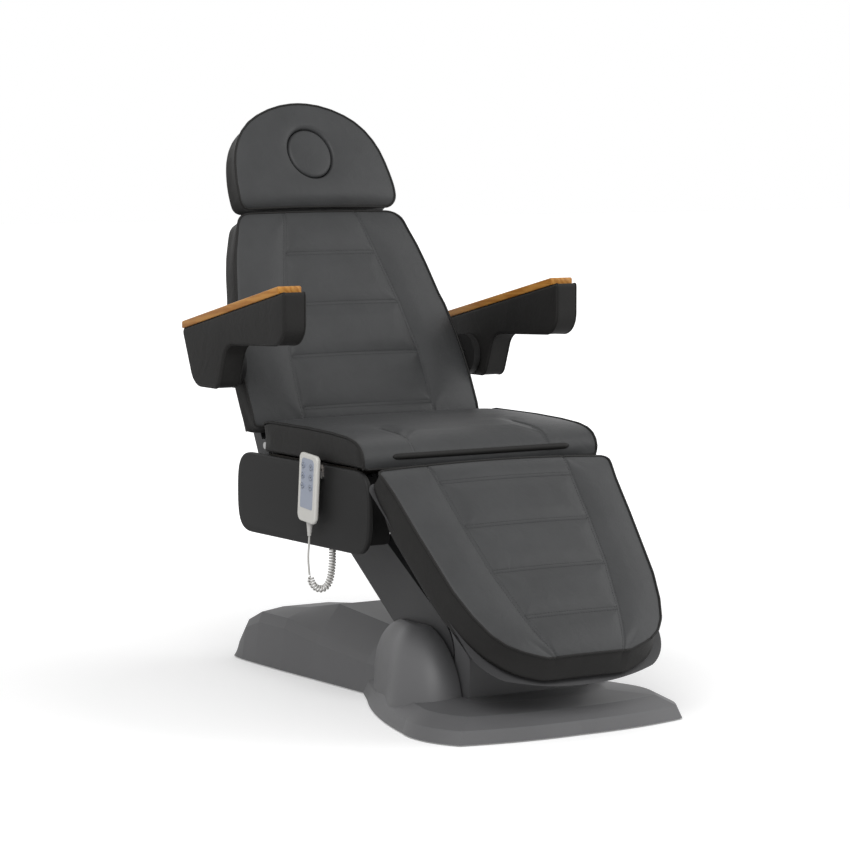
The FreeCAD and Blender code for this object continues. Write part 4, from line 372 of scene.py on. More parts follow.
def timber(name, dark, light):
    """Lacquered timber: grain along the arm, a cloudy drift of tone and open pores."""
    finish, tree, shader = new_finish(name)
    link = tree.links.new
    turn = add_node(tree, "ShaderNodeMapping", Rotation=(math.radians(12.7), 0, 0), Scale=(1.0, 0.09, 1.0))
    object_place(tree, turn)
    bands = add_node(tree, "ShaderNodeTexWave", Scale=42.0, Distortion=7.0, Detail=3.0, wave_type="BANDS",
                     bands_direction="DIAGONAL")
    bands.inputs["Detail Scale"].default_value = 1.6
    pores = add_node(tree, "ShaderNodeTexNoise", Scale=420.0, Detail=4.0)
    cloud = add_node(tree, "ShaderNodeTexNoise", Scale=14.0, Detail=2.0)
    for part in (bands, pores, cloud):
        link(turn.outputs["Vector"], part.inputs["Vector"])
    mix = add_node(tree, "ShaderNodeMix", data_type="FLOAT")
    mix.inputs["Factor"].default_value = 0.45
    link(bands.outputs["Fac"], mix.inputs["A"])
    link(cloud.outputs["Fac"], mix.inputs["B"])
    two_tone(tree, shader, mix.outputs["Result"], dark, light, 0.2, 0.75)
    raised(tree, shader, pores.outputs["Fac"], 0.15, 0.0004)
    shader.inputs["Roughness"].default_value = 0.34
    shader.inputs["Specular IOR Level"].default_value = 0.22
    return finish


FINISHES = {}


def finish(name):
    """The chair's finishes, made once."""
    if not FINISHES:
        cloth = bpy.context.scene.chair_upholstery
        hard = bpy.context.scene.chair_mouldings
        hand = bpy.context.scene.chair_handset
        FINISHES.update({
            "face": leatherette("leatherette_face", cloth.colour),
            "band": leatherette("leatherette_band", cloth.band_colour, 0.5, 0.13),
            "thread": moulded("thread", shaded(cloth.colour, 0.75), 0.6, 1500.0),
            "base": moulded("base_moulding", hard.base_colour, 0.5),
            "panel": moulded("panel_moulding", hard.panel_colour, 0.45, gloss=0.13),
            # link: the base colour at half, painted shade for the leg rest's shadow on the arm cover; the leg
            # tray shares it
            "link": moulded("link_moulding_painted_shade", shaded(hard.base_colour, 0.5), 0.5, gloss=0.3),
            "paint": moulded("frame_paint", (0.035, 0.035, 0.038), 0.45, 400.0),
            "black": moulded("black_moulding", (0.018, 0.018, 0.019), 0.5),
            "rubber": moulded("black_rubber", (0.014, 0.014, 0.014), 0.75),
            "plywood": timber("stained_plywood", (0.020, 0.016, 0.013), (0.036, 0.029, 0.023)),
            "timber": timber("arm_timber", hard.timber_dark, hard.timber_light),
            "steel": metal("bright_steel", (0.62, 0.62, 0.62), 0.32),
            "chrome": metal("chrome", (0.78, 0.78, 0.79), 0.12),
            "shell": moulded("handset_shell", hand.shell, 0.42, 900.0, 0.06, 0.03),
            "sheet": moulded("key_sheet", hand.sheet, 0.38, 900.0, 0.04, 0.04),
            "clip": moulded("clip_moulding", (0.20, 0.18, 0.165), 0.45),
            "cord": moulded("cord_sheath", (0.50, 0.49, 0.47), 0.45, 900.0, 0.05, 0.04),
            "mark": moulded("key_mark", (0.06, 0.07, 0.09), 0.45, 900.0, 0.03, 0.02),
        })
    return FINISHES[name]


def dress(finish_name, *nodes):
    """Give CAD nodes a finish."""
    for name in nodes:
        slots = NODES[name].data.materials
        slots.clear()
        slots.append(finish(finish_name))


# Upholstery
def stuffed(piece, held, swell):
    """Fill a cover with pressure: points in held stay, others go out by no more than swell."""
    frames = 20
    mesh = piece.data
    before = points_of(mesh)
    pins = piece.vertex_groups.new(name="held")
    pins.add(np.flatnonzero(held).tolist(), 1.0, "REPLACE")
    cloth = piece.modifiers.new("stuffing", "CLOTH")
    rules = cloth.settings
    rules.vertex_group_mass = "held"
    rules.quality = 4
    rules.mass = 0.3
    rules.tension_stiffness = rules.compression_stiffness = 12
    rules.shear_stiffness = 5
    rules.bending_stiffness = 0.6
    rules.use_pressure = True
    rules.uniform_pressure_force = 4
    rules.effector_weights.gravity = 0
    scene = bpy.context.scene
    cloth.point_cache.frame_start = 1
    cloth.point_cache.frame_end = frames
    for step in range(1, frames + 1):
        scene.frame_set(step)
    after = points_of(piece.evaluated_get(bpy.context.evaluated_depsgraph_get()).to_mesh())
    piece.modifiers.remove(cloth)
    piece.vertex_groups.remove(pins)
    scene.frame_set(1)
    move = np.nan_to_num(after - before)
    reach = np.linalg.norm(move, axis=1)[:, None]
    move *= np.minimum(1, swell / np.maximum(reach, 1e-9))
    mesh.vertices.foreach_set("co", (before + move).ravel())
    mesh.update()


def remeshed(piece, cell):
    """Even small faces all over a closed piece, from cells of one size."""
    even = piece.modifiers.new("cells", "REMESH")
    even.mode = "VOXEL"
    even.voxel_size = cell
    even.use_smooth_shade = True
    made = bpy.data.meshes.new_from_object(piece.evaluated_get(bpy.context.evaluated_depsgraph_get()))
    piece.modifiers.remove(even)
    old, piece.data = piece.data, made
    if not made.materials:
        made.materials.append(old.materials[0])
    bpy.data.meshes.remove(old)


def near_line(piece, line, reach):
    """Which points lie near a closed outline in Y and Z: the least distance to its straight pieces."""
    spots = points_of(piece.data)[:, None, 1:]
    start, way = line[None], (np.roll(line, -1, 0) - line)[None]
    share = np.clip(((spots - start) * way).sum(-1) / np.maximum((way ** 2).sum(-1), 1e-12), 0, 1)
    return np.linalg.norm(spots - start - way * share[..., None], axis=-1).min(1) < reach


def padded(piece, replaced):
    """A stuffed piece gets one more level of subdivision and stands for its CAD solid."""
    more = piece.modifiers.new("finer", "SUBSURF")
    more.levels = more.render_levels = 1
    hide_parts(replaced)


def band_faces(piece, first, last):
    """A run of a cover's faces gets the band's finish."""
    piece.data.materials.append(finish("band"))
    slots = np.zeros(len(piece.data.polygons), int)
    slots[first:last] = 1
    piece.data.polygons.foreach_set("material_index", slots)


# From a sewn channel to the stitches beside it, and to where the face is full again
NEAR = 0.0035
SIDE = 0.009


def spread_columns(seam_x, half, inner=17, outer=13):
    """Across a quilted face, for each row: even steps between the two long seams, three close lines at
    each seam, even steps from there to the edge. Returns x by row and column, and the seams' columns."""
    seam_x, half = np.asarray(seam_x, float)[:, None], np.asarray(half, float)[:, None]
    squeeze = np.minimum(1, (half - seam_x) / (2.5 * SIDE))
    middle = np.linspace(-1, 1, 2 * inner + 1)[None] * (seam_x - SIDE)
    right = np.concatenate([seam_x - NEAR, seam_x, seam_x + NEAR * squeeze, seam_x + SIDE * squeeze], 1)
    start = seam_x + SIDE * squeeze
    rim = start + (half - start) * np.linspace(0, 1, outer + 1)[None, 1:]
    right = np.concatenate([right, rim], 1)
    x = np.concatenate([-right[:, ::-1], middle, right], 1)
    wing = right.shape[1]
    return x, (wing - 2, x.shape[1] - wing + 1)


def spread_rows(start, end, seams, step=0.0075, tight=0.0025):
    """Along a quilted face: even steps, five close lines at each cross seam, closer steps at both ends."""
    marks = [start, start + tight, start + 2.5 * tight, start + 5 * tight]
    for seam in seams:
        marks += [seam - SIDE, seam - NEAR, seam, seam + NEAR, seam + SIDE]
    marks += [end - 5 * tight, end - 2.5 * tight, end - tight, end]
    rows = []
    for a, b in zip(marks, marks[1:]):
        parts = max(1, int(round((b - a) / step)))
        rows += list(np.linspace(a, b, parts, endpoint=False))
    return np.array(rows + [end])


def quilt(name, body, where, rows, half, seam_x, height, low, cross, draw, replaced, long_seam=None,
          stretch=0.0, about=0.0, wrap=None):
    """A boxed cushion: a crowned face on a grid whose lines follow the sewn channels, a band, a flat back.
    rows, half, seam_x give each row's place, half width and long seam; height(x, y) the face; cross the
    cross seams. The band draws in by a sine of its depth; stretch lengthens it from the line y = about as
    it goes back. wrap(y) is how much deeper the band goes there, and it then spreads by a share of that."""
    look = bpy.context.scene.chair_upholstery
    x, seams = spread_columns(seam_x, half)
    y = np.broadcast_to(rows[:, None], x.shape)
    place_y, z = height(x, y)
    long_on = np.ones(len(rows), bool) if long_seam is None else long_seam(rows)
    sewn = np.zeros(x.shape, bool)
    for column in seams:
        sewn[long_on, column] = True
    seam_rows = [int(np.argmin(np.abs(rows - seam))) for seam in cross]
    for row in seam_rows:
        sewn[row, seams[0]:seams[1] + 1] = True
    z = z - np.where(sewn, look.groove, 0)
    top = np.stack([x, place_y, z], -1)
    count_r, count_c = x.shape
    index = np.arange(count_r * count_c).reshape(count_r, count_c)
    loop = np.concatenate([index[0, :-1], index[:-1, -1], index[-1, :0:-1], index[:0:-1, 0]])
    rim = top.reshape(-1, 3)[loop]
    turn = math.copysign(1, area_sign(rim[:, :2]))
    normal = inward(rim[:, :2]) * turn
    share = np.linspace(0, 1, 7)[1:]
    deeper = (np.zeros(len(rim)) if wrap is None else wrap(rim[:, 1]))[:, None]
    rings = []
    for f in share:
        ring = rim.copy()
        ring[:, :2] += normal * (draw * (math.sin(math.pi * f) + 0.5 * f) - 0.3 * deeper * f)
        ring[:, 1] += (rim[:, 1] - about) * stretch * f
        ring[:, 2] = rim[:, 2] + (low - deeper[:, 0] - rim[:, 2]) * f
        rings.append(ring)
    under = np.vstack([rings[-1], [[0, rows.mean(), low]]])
    flat = np.vstack([top.reshape(-1, 3)] + rings[:-1] + [under])
    total = count_r * count_c
    span = len(loop)
    chain = np.vstack([loop] + [total + k * span + np.arange(span) for k in range(len(share))])
    nxt = np.roll(chain, -1, 1)
    band = np.stack([chain[:-1], chain[1:], nxt[1:], nxt[:-1]], -1).reshape(-1, 4)
    hub = len(flat) - 1
    fan = np.stack([chain[-1], np.full(span, hub), nxt[-1]], -1)
    faces = [block[:, ::int(turn)] for block in (grid_faces(count_r, count_c), band, fan)]
    piece = mesh_piece(name, into_frame(flat, where), faces, body, finish("face"))
    band_faces(piece, len(faces[0]), None)
    held = np.zeros(len(flat), bool)
    held[loop] = True
    held[:total] |= sewn.ravel()
    held[total + (len(share) - 1) * span:] = True
    stuffed(piece, held, look.swell)
    done = points_of(piece.data)
    padded(piece, replaced)
    edge_cord(name + "_piping", body, done[loop], look.piping)
    lines = []
    for column in seams:
        picked = np.flatnonzero(long_on)
        for shift in (-1, 1):
            lines.append(done[index[picked, column + shift]])
    for row in seam_rows:
        for shift in (-1, 1):
            lines.append(done[index[row + shift, seams[0]:seams[1] + 1]])
    out = into_frame([[0, 0, 0.0003]], (FLAT[0], where[1]))[0]
    sew(name + "_stitches", body, lines, out)


def edge_cord(name, body, loop, radius):
    """A covered cord sewn round an edge, half sunk in it."""
    path = resample(loop, 0.005, closed=True)
    points, faces = tube(path, radius, 8, closed=True)
    mesh_piece(name, points, faces, body, finish("band"))


def sew(name, body, lines, lift):
    """Rows of stitches along lines on a cover."""
    pitch = bpy.context.scene.chair_upholstery.stitch
    points, faces, start = [], [], 0
    for line in lines:
        spots, rows = stitch_row(line, pitch, lift)
        points.append(spots)
        faces.append(rows + start)
        start += len(spots)
    mesh_piece(name, np.vstack(points), faces, body, finish("thread"))


def table(at, *knots):
    """Values read off a table of (place, value) pairs, straight between them."""
    places, values = zip(*knots)
    return np.interp(at, places, values)


def corner(rows, start, end, radius_start, radius_end):
    """How much a quarter-round corner takes off the half width near the two ends."""
    a = np.clip((radius_start - (rows - start)) / max(radius_start, 1e-6), 0, 1)
    b = np.clip((radius_end - (end - rows)) / max(radius_end, 1e-6), 0, 1)
    return radius_start * (1 - np.sqrt(1 - a ** 2)) + radius_end * (1 - np.sqrt(1 - b ** 2))


def end_roll(y, start, end, reach, drop):
    """How much the face falls towards its two ends."""
    a = np.clip(1 - (y - start) / reach, 0, 1)
    b = np.clip(1 - (end - y) / reach, 0, 1)
    return drop * (a ** 2 + b ** 2)


class CHAIR_OT_seat(bpy.types.Operator):
    """Seat cushion: its face rolls over the front edge, with two short seams over the roll"""
    bl_idname = "chair.seat"
    bl_label = "Seat cushion"

    def execute(self, context):
        rear, front, top, low = 0.197, -0.2315, 0.6055, 0.5287
        half_width, seam_x, seam_length, crown = 0.2985, 0.172, 0.185, 0.003
        profile = np.array([(rear, top - 0.012), (0.188, top - 0.005), (0.165, top), (0.0, top),
                            (-0.10, top - 0.003), (-0.165, top - 0.008), (-0.198, top - 0.015),
                            (-0.216, top - 0.025), (-0.227, top - 0.038), (front, top - 0.052),
                            (-0.229, low + 0.003)])
        run = steps_of(profile)
        rows = spread_rows(0.0, run[-1], [], step=0.008)
        half = half_width - corner(rows, 0, run[-1], 0.012, 0.010)
        seam = np.full(len(rows), seam_x)

        def height(x, along):
            level = np.interp(along, run, profile[:, 1])
            fade = np.clip((level - low) / (top - low), 0, 1)
            return np.interp(along, run, profile[:, 0]), level - crown * (x / HALF) ** 2 * fade

        quilt("seat_cover", "seat", FLAT, rows, half, seam, height, low, [], 0.003, "seat_cushion",
              long_seam=lambda r: r > run[-1] - seam_length)
        # the flap over the gap to the leg rest: an ellipse carried across, drawn in at its two ends
        flap_y, flap_z, flap_half, flap_deep, flap_high = -0.2300, 0.5555, 0.226, 0.0055, 0.0068
        across = np.linspace(-1, 1, 81)
        end = np.sqrt(np.clip(1 - np.abs(across) ** 40, 0.04, 1))
        turn = np.linspace(0, math.tau, 20, endpoint=False)
        y = flap_y - flap_deep * np.cos(turn)[None] * end[:, None]
        z = flap_z + flap_high * np.sin(turn)[None] * end[:, None]
        x = np.broadcast_to(across[:, None] * flap_half, y.shape)
        order = np.arange(x.size).reshape(x.shape)
        faces = [grid_faces(*x.shape, closed=True)[:, ::-1], order[:1], order[-1:, ::-1]]
        points = np.stack([x, y, z], -1).reshape(-1, 3)
        mesh_piece("knee_flap", points, faces, "seat", finish("band"))
        return {"FINISHED"}


class CHAIR_OT_back(bpy.types.Operator):
    """Back cushion: two long seams that close in upwards and four cross seams between them"""
    bl_idname = "chair.back"
    bl_label = "Back cushion"

    def execute(self, context):
        low, high = 0.0315, 0.5445
        face, crown, under = 0.0585, 0.0145, -0.0115
        cross = [0.064, 0.189, 0.314, 0.439]
        rows = spread_rows(low, high, cross)
        half = table(rows, (0.03, 0.297), (0.044, 0.298), (0.138, 0.2985), (0.18, 0.296), (0.237, 0.29),
                     (0.305, 0.279), (0.333, 0.27), (0.408, 0.255), (0.456, 0.243), (0.499, 0.228),
                     (0.529, 0.2195), (0.5445, 0.216))
        half = half - 0.0015 - corner(rows, low, high, 0.010, 0.030)
        seam = table(rows, (0.03, 0.173), (0.064, 0.172), (0.192, 0.168), (0.314, 0.150), (0.440, 0.120),
                     (0.5445, 0.094))

        def height(x, y):
            return y, face - crown * (x / HALF) ** 2 - end_roll(y, low, high, 0.03, 0.007)

        quilt("back_cover", "backrest", BACK_FRAME, rows, half, seam, height, under, cross, 0.003,
              "back_cushion")
        return {"FINISHED"}


class CHAIR_OT_leg(bpy.types.Operator):
    """Leg rest cushion: wide at the knee, rounded foot end, four cross seams"""
    bl_idname = "chair.leg"
    bl_label = "Leg rest cushion"

    def execute(self, context):
        foot, high, first_seam, seam_pitch = -0.5415, -0.0355, 0.0872, 0.118
        face, crown, under, knee_half = 0.0805, 0.0145, 0.0145, 0.294
        wrap_depth, longer = 0.026, 0.029
        cross = [-first_seam - seam_pitch * k for k in (3, 2, 1, 0)]
        rows = spread_rows(foot, high, cross)
        down = -rows - first_seam
        half = table(down, (-0.055, 0.294), (-0.04, 0.294), (0.015, 0.284), (0.105, 0.275), (0.193, 0.264),
                     (0.271, 0.254), (0.338, 0.236), (0.387, 0.215), (0.418, 0.190), (0.437, 0.160),
                     (0.448, 0.128), (0.4545, 0.105))
        half = half - 0.0015 - corner(rows, foot, high, 0.001, 0.014)
        seam = table(down, (-0.06, 0.175), (0.0, 0.168), (0.115, 0.158), (0.237, 0.143), (0.353, 0.118),
                     (0.398, 0.105), (0.455, 0.084))

        def height(x, y):
            return y, face - crown * (x / knee_half) ** 2 - end_roll(y, foot, high, 0.03, 0.008)

        def wrap(y):
            return wrap_depth * table(y, (-0.56, 0.0), (-0.50, 0.0), (-0.43, 0.5), (-0.36, 1.0), (-0.14, 1.0),
                                      (-0.095, 0.5), (-0.05, 0.0), (0.0, 0.0))

        quilt("leg_cover", "leg_rest", LEG_FRAME, rows, half, seam, height, under, cross, 0.003,
              "leg_cushion", stretch=longer / (high - foot), about=high, wrap=wrap)
        return {"FINISHED"}


def head_outline(count):
    """The headrest's outline, once round from the middle of its lower edge: round corners, sides that draw
    in, dome; points at even distances."""
    right = np.array([(0.0, 0.553), (0.10, 0.553), (0.185, 0.553), (0.1942, 0.5548), (0.202, 0.560),
                      (0.2072, 0.5678), (0.209, 0.577), (0.209, 0.598), (0.2085, 0.612), (0.206, 0.632),
                      (0.2015, 0.660), (0.194, 0.690), (0.182, 0.717), (0.165, 0.742), (0.143, 0.7635),
                      (0.116, 0.7805), (0.085, 0.794), (0.052, 0.8035), (0.022, 0.808), (0.0, 0.809)])
    whole = np.vstack([right, right[-2:0:-1] * [-1, 1]])
    closed = np.vstack([whole, whole[:1]])
    run = steps_of(closed)
    at = np.linspace(0, run[-1], count, endpoint=False)
    return read_along(closed, run, at)


def fan_caps(rings, count):
    """Closed rings as quads, and a fan on the first and the last ring to the two points after them."""
    first, last = np.arange(count), np.arange(count) + (rings - 1) * count
    hubs = rings * count + np.arange(2)
    caps = [np.stack([np.roll(first, -1), first, np.full(count, hubs[0])], -1),
            np.stack([last, np.roll(last, -1), np.full(count, hubs[1])], -1)]
    return [block[:, ::-1] for block in (grid_faces(rings, count, closed=True), *caps)]


class CHAIR_OT_head(bpy.types.Operator):
    """Headrest: a domed cushion with an oval face hole, and the plug that fills it"""
    bl_idname = "chair.head"
    bl_label = "Headrest and plug"

    def execute(self, context):
        look = context.scene.chair_upholstery
        count = 240
        hole_x, hole_y, hole_floor, back = 0.0568, 0.0618, 0.0285, 0.0045
        level, crown, half_width, foot, roll = 0.0785, 0.0095, 0.209, 0.553, 0.046
        plug_x, plug_level, plug_back = 0.0562, 0.0775, 0.0295
        outer = head_outline(count)
        outer = outer + inward(outer) * 0.0015
        centre = np.array([0.0, 0.682])
        angle = np.arctan2(outer[:, 1] - centre[1], outer[:, 0])
        ray = np.stack([np.cos(angle), np.sin(angle)], -1)
        oval = centre + ray / np.sqrt((ray[:, :1] / hole_x) ** 2 + (ray[:, 1:] / hole_y) ** 2)

        def face(spots):
            fall = np.clip(1 - (spots[:, 1] - foot) / roll, 0, 1)
            dip = 0.026 * (1 - np.sqrt(1 - 0.98 * fall ** 2))
            return level - crown * (spots[:, 0] / half_width) ** 2 - dip

        inside = np.full(count, hole_floor)
        rings = [np.column_stack([centre + (oval - centre) * 0.5, inside]), np.column_stack([oval, inside]),
                 np.column_stack([oval, face(oval) - 0.012])]
        out = outer - oval
        reach = np.linalg.norm(out, axis=1)[:, None]
        lip = 0.007
        for step, drop in ((0.0010, 0.0068), (0.0034, 0.0034), (lip, 0.0014)):
            spots = oval + out / reach * step
            rings.append(np.column_stack([spots, face(spots) - drop]))
        for share in np.linspace(0, 1, 26)[1:]:
            spots = oval + out / reach * (lip + (reach - lip) * share)
            rings.append(np.column_stack([spots, face(spots) - 0.003 * share ** 6]))
        seam = len(rings) - 1
        normal = inward(outer)
        for f in np.linspace(0, 1, 8)[1:]:
            ring = rings[seam].copy()
            ring[:, :2] += normal * 0.003 * (math.sin(math.pi * f) + 0.6 * f)
            ring[:, 2] += (back - ring[:, 2]) * f
            rings.append(ring)
        points = np.vstack(rings + [[[*centre, hole_floor], [0, 0.68, back]]])
        piece = mesh_piece("head_cover", into_frame(points, BACK_FRAME), fan_caps(len(rings), count),
                           "headrest", finish("face"))
        band_faces(piece, seam * count, (len(rings) - 1) * count)
        held = np.zeros(len(points), bool)
        held[:5 * count] = True
        held[seam * count:(seam + 1) * count] = True
        held[(len(rings) - 1) * count:] = True
        stuffed(piece, held, look.swell * 0.7)
        padded(piece, "head_cushion")
        edge_cord("head_piping", "headrest", into_frame(rings[seam], BACK_FRAME), look.piping)
        # the plug: a slightly domed oval with a sewn rim
        edge = centre + (oval - centre) * (plug_x / hole_x)
        made = []
        for share, drop in ((0.25, 0.0), (0.5, -0.0003), (0.75, -0.0009), (0.87, -0.0018), (0.94, -0.0036),
                             (0.98, -0.0064), (1.0, -0.011)):
            spots = centre + (edge - centre) * share
            dome = plug_level + drop - crown * (spots[:, 0] / half_width) ** 2
            made.append(np.column_stack([spots, dome]))
        made.append(np.column_stack([edge, np.full(count, plug_back)]))
        points = np.vstack(made + [[[*centre, 0.0777], [*centre, plug_back]]])
        plug = mesh_piece("plug_cover", into_frame(points, BACK_FRAME), fan_caps(len(made), count),
                          "face_plug", finish("face"))
        padded(plug, "face_plug")
        return {"FINISHED"}


class CHAIR_OT_arms(bpy.types.Operator):
    """Arms: padded sides with a sewn front end, and a timber top"""
    bl_idname = "chair.arms"
    bl_label = "Arms"

    def execute(self, context):
        look = context.scene.chair_upholstery
        rear, front, rear_z, front_z = 0.414, -0.020, 0.796, 0.893
        pad_in, pad_out, wood_in, wood_out = 0.3225, 0.3805, 0.3232, 0.3808
        slope = (front_z - rear_z) / (rear - front)

        def under(y):
            return rear_z + (rear - y) * slope

        pad = np.array([(0.412, under(0.412)), (-0.042, under(-0.042)), (-0.042, 0.783), (0.214, 0.772),
                        (0.250, 0.672), (0.364, 0.672), (0.412, 0.786)])
        line = rounded(pad, [0.003, 0.004, 0.047, 0.042, 0.024, 0.046, 0.004])
        wood = np.array([(rear, 0.7965), (front, 0.8935), (front, 0.910), (rear, 0.813)])
        top = rounded(wood, [0.003, 0.003, 0.005, 0.005], 6)
        for side, body in ((1, "left"), (-1, "right")):
            points, faces = rounded_plate(line, side * pad_in, side * pad_out, 0.005, 6)
            piece = mesh_piece(body + "_arm_cover", points, faces, body + "_armrest", finish("band"))
            remeshed(piece, 0.004)
            stuffed(piece, near_line(piece, line, 0.006), 0.003)
            padded(piece, body + "_arm_pad")
            points, faces = rounded_plate(top, side * wood_in, side * wood_out, 0.0024, 4)
            slab = mesh_piece(body + "_arm_top", points, faces, body + "_armrest", finish("timber"))
            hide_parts(body + "_arm_wood")
            for k, x in enumerate((0.3275, 0.3755)):
                ring = np.column_stack([np.full(len(line), side * x), line])
                edge_cord("%s_arm_seam_%d" % (body, k), body + "_armrest", ring, look.piping * 0.5)
        return {"FINISHED"}


class CHAIR_OT_panels(bpy.types.Operator):
    """Side panels: long plates with bulged ends and rounded rims, left bare"""
    bl_idname = "chair.panels"
    bl_label = "Side panels"

    def execute(self, context):
        edge = context.scene.chair_mouldings.edge
        turn = np.linspace(-1, 1, 25)
        high, low, front_y, rear_y, bulge, power = 0.528, 0.350, -0.251, 0.309, 0.060, 2.8
        mid, half = (high + low) / 2, (high - low) / 2
        z = mid + half * np.sin(turn * math.pi / 2) * 0.999
        front = np.column_stack([front_y + bulge * np.abs(turn) ** power, z])
        rear = np.column_stack([rear_y - bulge * np.abs(turn) ** power, z])
        line = np.vstack([front[::-1], rear])
        for side, name in ((1, "left"), (-1, "right")):
            points, faces = rounded_plate(line, side * 0.2862, side * 0.2998, edge, 6)
            piece = mesh_piece(name + "_panel_shell", points, faces, "seat", finish("panel"))
            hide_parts(name + "_side_panel")
            # the panel's front return: a flat strip that turns inward behind the knee
            strip = rounded([(0.212, 0.366), (0.287, 0.366), (0.287, 0.512), (0.212, 0.512)],
                            [0.012, 0.002, 0.002, 0.012], 6)
            points, faces = rounded_plate(strip, -0.196, -0.192, 0.001, 3)
            flange = points[:, [1, 0, 2]] * [side, 1, 1]
            faces = [block[:, ::-side] for block in faces]
            mesh_piece(name + "_panel_return", flange, faces, "seat", finish("panel"),
                       smooth=False)
        return {"FINISHED"}


# Control points of the two cords, in millimetres
LEAD_ROUTE = [(-317.5, -38.9, 374.4), (-317.5, -37.0, 352.5), (-316.5, -32.0, 330), (-314.0, -29.0, 308),
              (-312.0, -30.0, 288)]
CURL_ROUTE = [(-311.7, -30.2, 285.6), (-310.5, -36, 271), (-305, -46, 261), (-297, -56, 259),
              (-288, -63, 266), (-281, -65.5, 282), (-277.5, -66, 304), (-276, -66, 330), (-276, -66, 372)]


def route_curve(name, points, radius):
    """A smooth open spline with the points as its control points."""
    curve = bpy.data.curves.new(name, "CURVE")
    curve.dimensions = "3D"
    line = curve.splines.new("NURBS")
    line.points.add(len(points) - 1)
    for spot, place in zip(line.points, points):
        spot.co = (*place, 1)
    line.order_u = 3
    line.use_endpoint_u = True
    line.resolution_u = 6
    curve.bevel_depth = radius
    curve.bevel_resolution = 3
    curve.use_fill_caps = True
    piece = bpy.data.objects.new(name, curve)
    bpy.context.scene.collection.objects.link(piece)
    return piece


def hanging_cord(curve, body, node):
    """A curve becomes a free cord on a body, in place of a CAD node."""
    curve.data.materials.append(finish("cord"))
    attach(curve, body)
    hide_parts(node)


class CHAIR_OT_cords(bpy.types.Operator):
    """Handset lead, then the curls that hang in a loop and go up behind the side panel"""
    bl_idname = "chair.cords"
    bl_label = "Cords"

    def execute(self, context):
        hand = context.scene.chair_handset
        lead_points = np.array(LEAD_ROUTE) * MM
        lead = route_curve("lead", lead_points, hand.lead)
        hanging_cord(lead, "handset", "handset_lead")
        guide = route_curve("curl_guide", np.array(CURL_ROUTE) * MM, 0.0)
        context.view_layer.update()
        drawn = bpy.data.meshes.new_from_object(guide.evaluated_get(context.evaluated_depsgraph_get()))
        bpy.data.objects.remove(guide)
        path = resample(points_of(drawn), 0.0004)
        turns = int((steps_of(path)[-1] - 0.008) / hand.curl_pitch)
        share = np.linspace(0, 1, turns * 14 + 1)
        spine = read_along(path, np.linspace(0, 1, len(path)), share)
        ahead = unit(np.gradient(spine, axis=0))
        side = unit(np.cross(ahead, np.cross([1.0, 0, 0], ahead)))
        other = np.cross(ahead, side)
        phase = share[:, None] * turns * math.tau
        swell = np.minimum(1, np.minimum(share, 1 - share) * turns)[:, None] * hand.curl_radius
        helix = spine + (side * np.cos(phase) + other * np.sin(phase)) * swell
        helix = np.vstack([helix, helix[-1] + ahead[-1] * 4 * hand.curl_wire])
        curls = route_curve("curls", helix, hand.curl_wire)
        curls.data.splines[0].resolution_u = 2
        hanging_cord(curls, "seat", "curly_cord")
        return {"FINISHED"}


# Each key with its side of the sheet and its row
KEYS = [("key_back_up", 1, 0), ("key_back_down", -1, 0), ("key_leg_up", 1, 1), ("key_leg_down", -1, 1),
        ("key_lift_up", 1, 2), ("key_lift_down", -1, 2)]


class CHAIR_OT_hard_parts(bpy.types.Operator):
    """Finishes of the frame, mouldings, mechanism and handset that keep their shapes"""
    bl_idname = "chair.hard_parts"
    bl_label = "Frame, mouldings and handset"

    def execute(self, context):
        dress("base", "base_cover", "front_cowl")
        dress("link", "arm_cover", "leg_tray")
        # the link finish is the base colour darkened as painted shade
        dress("paint", "base_frame", "lift_arm", "tie_arm", "seat_frame", "back_frame", "leg_frame",
              "left_arm_core", "right_arm_core")
        dress("steel", "lower_pivot_shafts", "upper_pivot_shafts", "hinge_pins", "arm_pivot_bolts",
              "lift_rod", "back_rod", "leg_rod")
        dress("black", "control_box", "mains_inlet", "lift_actuator", "back_actuator", "leg_actuator",
              "head_block", "cord_gland")
        dress("rubber", "levelling_feet")
        dress("plywood", "seat_board", "back_board", "head_board")
        dress("chrome", "handset_hook", "head_rods")
        dress("panel", "left_arm_bracket", "right_arm_bracket")
        dress("sheet", *(name for name, _, _ in KEYS))
        dress("clip", "handset_clip")
        dress("cord", "cord_relief")
        return {"FINISHED"}


HANDSET_FRAME = ((0.0, -0.048, 0.478), math.radians(5.0))


